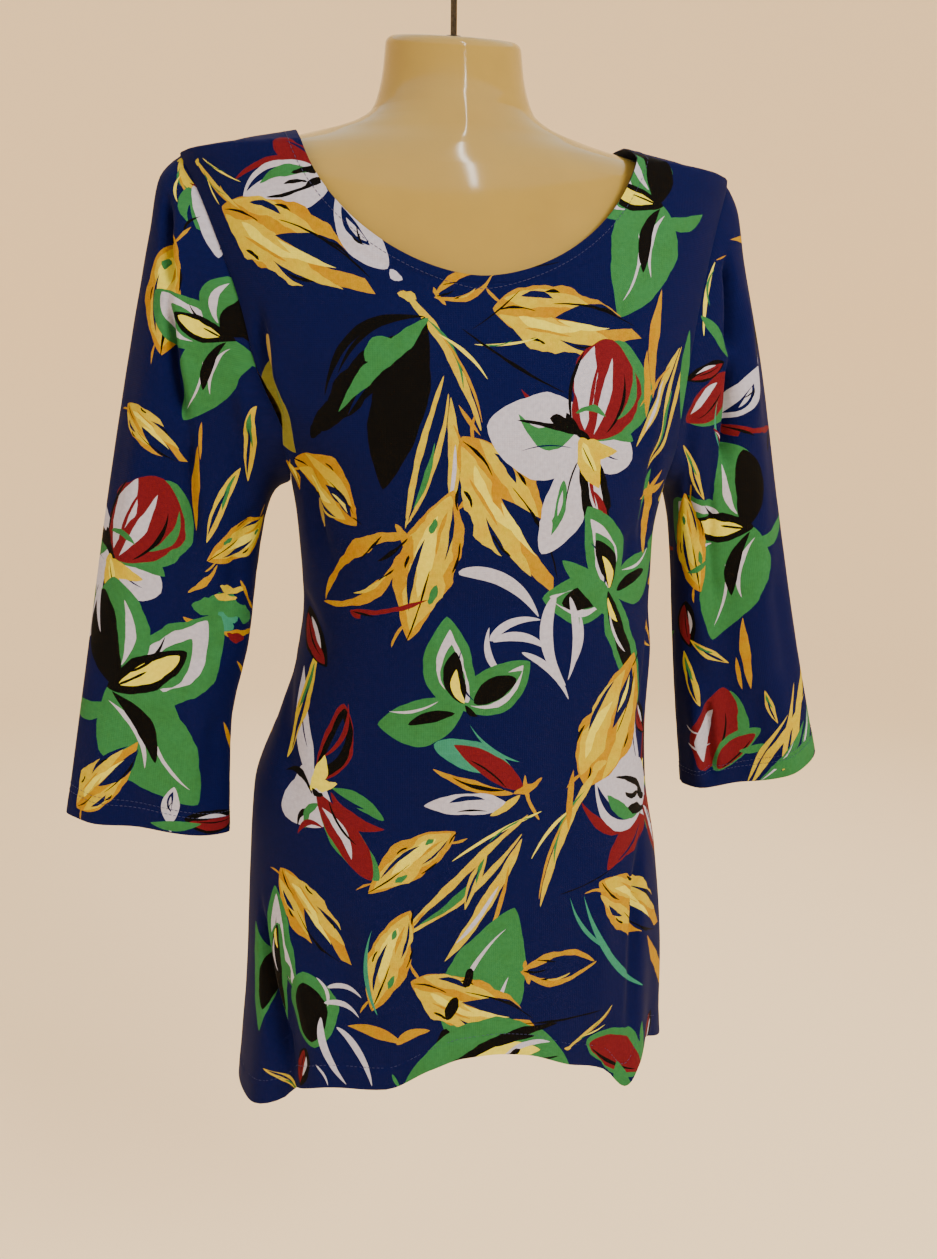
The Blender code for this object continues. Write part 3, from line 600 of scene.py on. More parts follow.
        ("white", 0.1, -0.14, 0.42, -0.72, 0.075, 0.02, 1, 0.9, 0.12),
        ("red", 0.24, -0.46, 0.54, -0.94, 0.05, -0.05, 0.9, 0.8, 0.12),
        ("red", 0.14, -0.24, 0.32, -0.62, 0.02, 0.02, 1, 0.8, 0.12),
        ("black", -0.24, 0.22, 0.08, 0, 0.05, 0.03, 1, 0.5, 0.25),
        ("green", -0.14, 0.24, 0.2, 0.28, 0.035, -0.06, 1, 0.6, 0.25),
        ("yellow", -0.04, 0.02, 0.3, -0.42, 0.12, 0.02, 0.8, 0.75, 0.14),
        ("yellow", -0.04, -0.06, 0.42, -0.02, 0.085, 0.02, 0.8, 0.8, 0.14),
        ("pale", 0, -0.02, 0.22, -0.26, 0.05, 0.02, 0.9, 0.8, 0.14),
        ("black", 0, -0.06, 0.2, -0.28, 0.008, 0, 1, 0.6, 0.2),
    ],
    "sideFlower": [
        ("red", 0.02, 0.02, 0.46, 0.62, 0.155, 0.08, 0.95, 0.65, 0.06),
        ("black", 0.03, 0.04, 0.46, 0.58, 0.125, 0.08, 0.95, 0.65, 0.08),
        ("navy", 0.1, 0.12, 0.42, 0.5, 0.06, 0.05, 1, 0.8, 0.08),
        ("red", 0.12, 0.2, 0.5, 0.62, 0.022, 0.09, 1, 0.7, 0.12),
        ("white", -0.02, 0.02, -0.06, 1, 0.11, -0.03, 0.85, 0.8, 0.05),
        ("navy", -0.02, 0.3, -0.05, 0.74, 0.01, -0.02, 1, 0.7, 0.1),
        ("white", 0.02, 0.12, -0.4, -0.26, 0.26, -0.1, 0.95, 0.55, 0.05),
        ("black", -0.05, -0.1, -0.36, 0.14, 0.03, 0.1, 1, 0.6, 0.25),
        ("black", -0.08, -0.22, -0.28, -0.36, 0.022, 0.05, 1, 0.6, 0.25),
        ("green", 0, -0.18, -0.2, -0.38, 0.04, 0.05, 1, 0.7, 0.2),
        ("red", -0.02, -0.4, -0.3, -0.42, 0.03, 0.08, 1, 0.7, 0.12),
        ("red", 0.14, -0.1, 0.52, -0.52, 0.06, 0.1, 1, 0.7, 0.12),
        ("green", 0.14, -0.06, 0.54, -0.44, 0.06, -0.04, 1.2, 0.7, 0.12),
        ("navy", 0.12, -0.04, 0.4, -0.3, 0.018, 0.02, 1, 0.7, 0.12),
        ("green", 0.02, -0.1, 0.34, -0.96, 0.14, 0.02, 1.1, 0.65, 0.05),
        ("red", 0, -0.08, 0.28, -0.94, 0.135, -0.02, 1.1, 0.65, 0.05),
        ("white", 0.02, -0.22, 0.16, -0.72, 0.045, -0.05, 1, 0.9, 0.12),
        ("black", 0.1, -0.16, 0.24, -0.6, 0.012, 0.04, 1, 0.7, 0.15),
        ("pale", -0.06, -0.06, 0.16, 0.22, 0.06, 0.02, 1, 0.7, 0.2),
        ("pale", -0.04, 0.02, 0.22, -0.04, 0.05, 0.02, 1, 0.7, 0.2),
        ("black", -0.04, -0.04, 0.06, -0.12, 0.03, 0.02, 1, 0.6, 0.2),
    ],
    "roundPetal": [
        ("red", 0.3, -0.1, 0.92, 0.42, 0.185, -0.1, 0.85, 0.75, 0.12),
        ("navy", 0.38, 0.02, 0.8, 0.3, 0.016, 0.03, 1, 0.7, 0.12),
        ("navy", 0.46, -0.04, 0.74, 0.1, 0.014, 0.03, 1, 0.7, 0.12),
        ("red", 0.44, 0.16, 0.34, 1.04, 0.06, 0.12, 0.9, 0.8, 0.14),
        ("white", 0.04, -0.06, -0.02, 1, 0.4, 0.1, 0.95, 0.55, 0.03),
        ("navy", 0.34, 0.22, 0.14, 0.92, 0.046, 0.1, 1, 0.7, 0.05),
        ("green", 0.22, 0.06, 0.2, 0.74, 0.08, 0.1, 1, 0.7, 0.18),
        ("black", 0.2, -0.04, 0.26, 0.34, 0.055, 0.02, 0.9, 0.5, 0.28),
        ("black", 0.06, 0.04, 0, 0.7, 0.03, -0.05, 0.9, 0.6, 0.28),
        ("black", 0.08, 0.18, 0.12, 0.46, 0.03, 0.03, 0.8, 0.5, 0.3),
        ("black", 0.1, -0.02, 0, 0.22, 0.05, 0.02, 1, 0.5, 0.28),
    ],
    "whitePetal": [
        ("white", 0, 0, 0.02, 1, 0.215, 0.04, 1.1, 0.65, 0.04),
        ("navy", 0.01, 0.12, 0.02, 0.68, 0.072, 0.05, 1, 0.85, 0.05),
        ("white", 0.05, 0.26, 0.02, 0.62, 0.035, 0.02, 1.1, 0.8, 0.06),
        ("black", 0, 0.4, 0.08, 0.62, 0.012, 0.02, 1, 0.6, 0.2),
        ("black", 0.12, 0.44, 0.06, 0.64, 0.012, 0.02, 1, 0.6, 0.2),
        ("white", 0, 1.02, -0.04, 1.2, 0.052, 0.02, 1, 0.6, 0.08),
    ],
    "slimPetal": [
        ("red", 0.02, 0, -0.06, 0.52, 0.06, -0.1, 1, 0.7, 0.1),
        ("green", 0.03, 0.06, 0.03, 0.66, 0.075, 0.02, 0.95, 0.7, 0.08),
        ("white", 0, 0.04, 0.02, 1, 0.072, -0.04, 0.95, 0.7, 0.05),
        ("navy", 0.05, 0.3, 0.06, 0.78, 0.014, 0.02, 1, 0.7, 0.15),
        ("black", -0.02, 0.22, 0, 0.9, 0.01, -0.06, 1, 0.6, 0.2),
        ("black", 0.02, 0.46, 0.14, 0.64, 0.012, 0.02, 1, 0.6, 0.2),
    ],
    "darkPetal": [
        ("black", 0, 0, 0, 1, 0.2, 0.03, 0.95, 0.75, 0.07),
        ("red", 0.04, 0.08, 0.02, 0.94, 0.11, 0.05, 1, 0.75, 0.12),
        ("white", -0.03, 0.2, -0.02, 0.72, 0.035, -0.03, 1, 0.8, 0.15),
        ("black", 0.02, 0.18, 0.03, 0.8, 0.012, 0.03, 1, 0.7, 0.2),
    ],
    "redPetal": [
        ("green", 0.06, 0.02, 0.14, 0.96, 0.22, 0.12, 1, 0.65, 0.05),
        ("red", 0, 0, 0.04, 1, 0.26, 0.03, 1, 0.6, 0.06),
        ("white", -0.04, 0.12, -0.04, 0.74, 0.07, -0.05, 1, 0.85, 0.12),
        ("black", 0.08, 0.14, 0.12, 0.7, 0.014, 0.05, 1, 0.7, 0.2),
    ],
    "nightLeaf": [
        ("black", 0.02, 0, -0.01, 1, 0.155, 0.03, 1.05, 0.75, 0.04),
        ("black", 0.02, 0.02, 0.44, 0.8, 0.105, 0.02, 1.25, 0.7, 0.12),
        ("black", 0.02, 0, 0.47, 0.6, 0.028, 0.16, 1, 0.6, 0.12),
        ("black", 0.02, 0, 0.42, 0.46, 0.016, 0.1, 1, 0.6, 0.12),
        ("black", 0.36, 0.6, 0.5, 0.86, 0.05, 0.02, 1, 0.6, 0.25),
        ("navy", 0.13, 0.22, 0.3, 0.66, 0.012, 0.02, 1, 0.7, 0.2),
        ("green", 0, 0, 0.36, 0.66, 0.052, 0.02, 0.75, 0.7, 0.18),
        ("green", 0.14, 0.18, 0.28, 0.34, 0.062, 0.02, 1, 0.7, 0.25),
    ],
    "greenLeaf": [
        ("green", 0, 0, 0, 1, 0.265, -0.04, 0.85, 0.8, 0.03),
        ("white", -0.14, 0.3, -0.01, 0.86, 0.013, -0.07, 1, 0.8, 0.1),
        ("white", 0.1, 0.14, 0.1, 0.56, 0.02, -0.02, 1, 0.8, 0.1),
        ("black", -0.1, 0.24, -0.06, 0.42, 0.04, 0.02, 1, 0.6, 0.15),
        ("black", -0.04, -0.1, -0.02, 0.2, 0.06, 0.02, 1, 0.6, 0.15),
    ],
    "beak": [
        ("teal", 0.22, 0.1, 0.32, 0.98, 0.16, 0.02, 1.1, 0.6, 0.05),
        ("red", 0.04, -0.08, 0.36, 0.78, 0.125, 0.03, 0.85, 0.8, 0.06),
        ("black", 0.02, 0.1, 0.24, 0.58, 0.01, 0.03, 1, 0.7, 0.2),
        ("gold", -0.02, 0.02, 0.06, 0.92, 0.055, -0.05, 0.9, 0.7, 0.16),
        ("black", 0, 0.12, 0.02, 0.7, 0.022, -0.04, 0.9, 0.7, 0.2),
        ("white", -0.16, 0.02, -0.36, 0.9, 0.125, 0.04, 0.9, 0.75, 0.07),
        ("navy", -0.14, 0.3, -0.26, 0.66, 0.028, 0.04, 1, 0.8, 0.12),
        ("black", -0.26, 0.24, -0.34, 0.56, 0.01, 0.02, 1, 0.7, 0.2),
        ("gold", -0.02, 0.02, 0.2, -0.26, 0.04, 0.02, 1, 0.5, 0.3),
        ("gold", 0.2, -0.05, -0.26, -0.36, 0.026, 0.04, 1, 0.5, 0.3),
        ("yellow", -0.3, 0.2, -0.02, -0.06, 0.045, 0.02, 1, 0.7, 0.15),
    ],
    "stem": [
        ("yellow", 0, 0, 0, 1, 0.03, 0.06, 0.8, 0.55, 0.18),
        ("green", 0.04, 0.22, 0.03, 0.72, 0.012, 0.06, 1, 0.7, 0.15),
        ("gold", 0.06, 0.3, 0.03, 0.96, 0.009, 0.05, 1, 0.6, 0.2),
        ("yellow", -0.04, 0, 0.05, 0.09, 0.028, 0.01, 1, 0.5, 0.25),
        ("pale", 0.06, 0.34, 0.2, 0.74, 0.011, 0.03, 1, 0.7, 0.15),
    ],
    "reed": [
        ("yellow", 0, 0, -0.03, 1, 0.022, -0.03, 1, 0.6, 0.18),
        ("yellow", 0.05, 0.1, -0.03, 0.98, 0.018, 0.05, 1, 0.6, 0.18),
        ("green", 0.03, 0.42, -0.01, 0.86, 0.018, 0.02, 1, 0.7, 0.2),
        ("yellow", 0.07, 0.12, 0.24, 0.92, 0.036, 0.02, 0.9, 0.8, 0.14),
        ("white", 0.16, 0.4, 0.21, 0.8, 0.014, 0.01, 1, 0.8, 0.14),
        ("gold", 0.12, 0.28, 0.32, 0.66, 0.012, 0.02, 1, 0.6, 0.2),
    ],
    "slit": [
        ("yellow", 0, 0, 0, 1, 0.085, 0.02, 1, 0.8, 0.12),
        ("green", 0.01, 0.1, -0.02, 0.55, 0.03, 0.02, 1, 0.7, 0.18),
        ("navy", 0.02, 0.3, 0.02, 0.92, 0.026, 0.02, 1, 0.9, 0.14),
    ],
    "whiteArc": [("white", 0, 0, 0, 1, 0.05, 0.1, 0.75, 0.7, 0.04)],
    "whiteStroke": [("white", 0, 0, 0, 1, 0.075, 0.15, 0.62, 0.6, 0.03)],
    "tealArc": [("teal", 0, 0, 0, 1, 0.026, 0.1, 1.3, 0.7, 0.05)],
    "goldBlade": [("gold", 0, 0, 0, 1, 0.062, 0.02, 0.95, 0.9, 0.14)],
    "greenBlade": [("green", 0, 0, 0, 1, 0.11, 0.04, 0.95, 0.8, 0.08)],
    "oliveBlade": [
        ("olive", 0, 0, 0, 1, 0.165, 0.05, 0.9, 0.8, 0.06),
        ("green", -0.03, 0.1, -0.02, 0.6, 0.018, -0.04, 1, 0.7, 0.15),
    ],
    "darkBlade": [
        ("green", 0, 0, 0, 1, 0.12, 0.04, 0.75, 0.8, 0.08),
        ("black", 0.01, 0.02, 0, 0.9, 0.06, 0.04, 0.75, 0.8, 0.12),
        ("white", 0.06, 0.16, 0.04, 0.5, 0.012, 0.03, 1, 0.7, 0.15),
        ("pale", 0.03, 0.06, 0.02, 0.26, 0.02, 0.02, 1, 0.7, 0.15),
    ],
    "openPetal": [
        ("green", 0, 0, 0, 1, 0.165, -0.06, 0.9, 0.75, 0.05),
        ("white", 0.02, 0.02, 0, 0.92, 0.1, -0.08, 0.85, 0.75, 0.06),
        ("green", -0.02, 0.04, 0, 0.66, 0.03, -0.05, 0.9, 0.8, 0.1),
        ("black", -0.05, 0.06, -0.05, 0.7, 0.022, -0.06, 0.9, 0.8, 0.12),
    ],
    "darkBud": [
        ("green", 0, 0, 0, 1, 0.33, -0.05, 0.95, 0.65, 0.06),
        ("black", 0.02, 0.14, 0.02, 0.92, 0.21, -0.04, 0.95, 0.65, 0.06),
        ("white", -0.16, 0.08, -0.24, 0.48, 0.022, -0.06, 1, 0.7, 0.12),
        ("green", 0.24, 0.14, 0.3, -0.14, 0.06, 0.03, 1, 0.7, 0.12),
    ],
    "blackBlot": [("black", 0, 0, 0, 1, 0.21, 0.02, 1, 0.4, 0.14)],
    "halfMoon": [
        ("green", 0, 0, 0, 1, 0.41, 0.04, 1, 0.6, 0.02),
        ("pale", 0.22, 0.22, 0.1, 0.72, 0.07, 0.06, 1, 0.7, 0.12),
        ("white", 0.26, 0.16, 0.2, 0.44, 0.018, 0.04, 1, 0.7, 0.15),
        ("black", 0.37, 0.12, 0.2, 0.64, 0.026, 0.04, 1, 0.6, 0.25),
        ("black", 0.31, 0.26, 0.08, 0.78, 0.032, 0.08, 1, 0.6, 0.25),
        ("black", 0.18, 0.58, 0, 0.84, 0.05, 0.04, 1, 0.5, 0.2),
        ("black", 0.24, 0.34, 0.12, 0.44, 0.028, 0.02, 1, 0.5, 0.25),
        ("black", 0.16, 0.1, 0.1, 0.46, 0.014, 0.02, 1, 0.6, 0.25),
        ("yellow", 0.14, 0.46, 0.06, 0.62, 0.04, 0.02, 1, 0.7, 0.2),
    ],
    "blackLine": [("black", 0, 0, 0, 1, 0.012, 0.03, 1.1, 0.5, 0.3)],
    "blackBlade": [("black", 0, 0, 0, 1, 0.13, 0.03, 1, 0.6, 0.12)],
    "paleLine": [
        ("pale", 0, 0, 0, 1, 0.018, 0.05, 0.9, 0.6, 0.12),
        ("green", 0, 0.1, 0, 0.6, 0.01, 0.05, 1, 0.6, 0.12),
    ],
    "redTwig": [
        ("red", 0, 0, 0, 1, 0.032, 0.04, 0.9, 0.5, 0.4),
        ("red", -0.02, 0.02, 0.1, 0.14, 0.045, 0, 1, 0.5, 0.35),
        ("black", 0, 0.04, 0.1, 0.32, 0.014, 0, 1, 0.5, 0.35),
    ],
    "redCurve": [
        ("red", 0, 0, 0, 1, 0.05, 0.16, 1, 0.6, 0.08),
        ("white", 0.04, 0.1, 0.05, 0.94, 0.022, 0.14, 1, 0.7, 0.08),
    ],
    "goldBird": [
        ("gold", 0, 0, 0.16, 0.66, 0.075, -0.05, 1.2, 0.7, 0.08),
        ("gold", 0.18, 0.6, 0, 1, 0.06, -0.05, 0.8, 0.7, 0.08),
    ],
    "scrap": [
        ("green", -0.3, 0.3, 0.3, 0.62, 0.15, 0.02, 1, 0.5, 0.35),
        ("gold", -0.36, 0.1, 0.34, 0.2, 0.06, 0.06, 1, 0.5, 0.35),
        ("red", -0.1, 0, 0.26, 0.16, 0.07, 0.02, 1, 0.5, 0.25),
        ("teal", 0.14, 0.2, 0.36, 0.5, 0.1, 0.02, 1, 0.5, 0.3),
        ("gold", -0.4, 0.44, -0.12, 0.96, 0.036, 0.04, 1, 0.5, 0.35),
        ("yellow", 0, 0.7, 0.42, 0.78, 0.055, 0.04, 1, 0.5, 0.35),
    ],
    "bud": [
        ("green", 0, 0, 0, 1, 0.225, -0.05, 0.9, 0.7, 0.08),
        ("red", 0.02, 0.06, 0.02, 0.88, 0.165, -0.05, 0.9, 0.7, 0.08),
        ("black", 0.06, 0.12, 0.05, 0.76, 0.016, 0.04, 1, 0.6, 0.2),
        ("green", 0.06, 0.5, 0.3, 0.92, 0.07, 0.03, 1, 0.7, 0.1),
    ],
    "grass": [
        ("yellow", 0, 0, 0.02, 1, 0.04, -0.04, 0.9, 0.8, 0.12),
        ("green", 0.04, 0, 0.14, 0.78, 0.05, 0.04, 0.9, 0.8, 0.12),
        ("green", 0.02, 0, 0.36, 0.62, 0.06, 0.06, 0.9, 0.8, 0.12),
        ("yellow", -0.04, 0, -0.12, 0.74, 0.022, -0.03, 0.9, 0.8, 0.12),
        ("white", 0.05, 0.08, 0.1, 0.56, 0.01, 0.03, 0.9, 0.8, 0.12),
    ],
}
# each ink's colour and how much of the watercolour blotches it takes
inks = {
    "navy": ("#060c3a", 0.0),
    "white": ("#9d9fb5", 0.0),
    "green": ("#29653b", 0.35),
    "teal": ("#2b7360", 0.2),
    "olive": ("#68682a", 0.5),
    "pale": ("#c2bd3c", 0.5),
    "yellow": ("#a9991a", 0.9),
    "gold": ("#977504", 1.0),
    "red": ("#5a131b", 0.25),
    "black": ("#070707", 0.0),
}
# how a stroke is drawn: metres between its points, the fewest and the most of them, and the
# sines that roughen its edge, each by its waves on a stroke of the given length and its share;
# a sine's phase is seed * (phase + phaseStep * its number), and differs between the two sides
brush = {
    "step": 0.0023,
    "fewest": 5,
    "most": 54,
    "wobbleLength": 0.10,
    "wobbleLeast": 0.5,
    "wobble": ((7.0, 1.0), (17.0, 0.7), (31.0, 0.4), (67.0, 0.22)),
    "phase": 1.7,
    "phaseStep": 0.6,
    "phaseSide": 2,
    "strokeSeed": 0.73,
    "motifSeed": 1.37,
}


def brushOutline(row, length, seed):
    # the line bows by bow * 4 t (1 - t); the half width is sin(pi t ** belly) ** bluntness,
    # roughened by the sines; its points are closer together near both ends
    x0, y0, x1, y1, half, bow, belly, blunt, rough = row[1:]
    reach = math.hypot(x1 - x0, y1 - y0)
    count = int(np.clip(reach * length / brush["step"], brush["fewest"], brush["most"]))
    t = (1 - np.cos(np.linspace(0, math.pi, count + 1))) / 2
    t = 0.5 * t + 0.5 * np.linspace(0, 1, count + 1)
    side = np.array([y1 - y0, x0 - x1]) / max(reach, 1e-9)
    middle = np.array([x0, y0]) + np.outer(t, [x1 - x0, y1 - y0]) + np.outer(4 * t * (1 - t) * bow, side)
    wide = half * np.sin(math.pi * t**belly).clip(0) ** blunt
    stretch = max(reach * length / brush["wobbleLength"], brush["wobbleLeast"])
    edges = []
    for sign in (1, -1):
        ripple = 0
        for k, (waves, share) in enumerate(brush["wobble"]):
            phase = seed * (brush["phase"] + brush["phaseStep"] * k) + sign * (brush["phaseSide"] + k)
            ripple = ripple + share * np.sin(t * waves * stretch + phase)
        edges.append(middle + np.outer(sign * wide * (1 + rough * ripple), side))
    return np.concatenate([edges[0], edges[1][-2:0:-1]]) * length


def motifShapes(kind, q, h, length, turn, flip, seed):
    # (ink, outline in flat metres) of every brush shape; turn is degrees clockwise from up
    angle = math.radians(turn)
    across = np.array([math.cos(angle), -math.sin(angle)]) * (-1 if flip else 1)
    up = np.array([math.sin(angle), math.cos(angle)])
    for number, row in enumerate(motifs[kind]):
        outline = brushOutline(row, length, seed + brush["strokeSeed"] * number)
        yield row[0], (q, h) + np.outer(outline[:, 0], across) + np.outer(outline[:, 1], up)


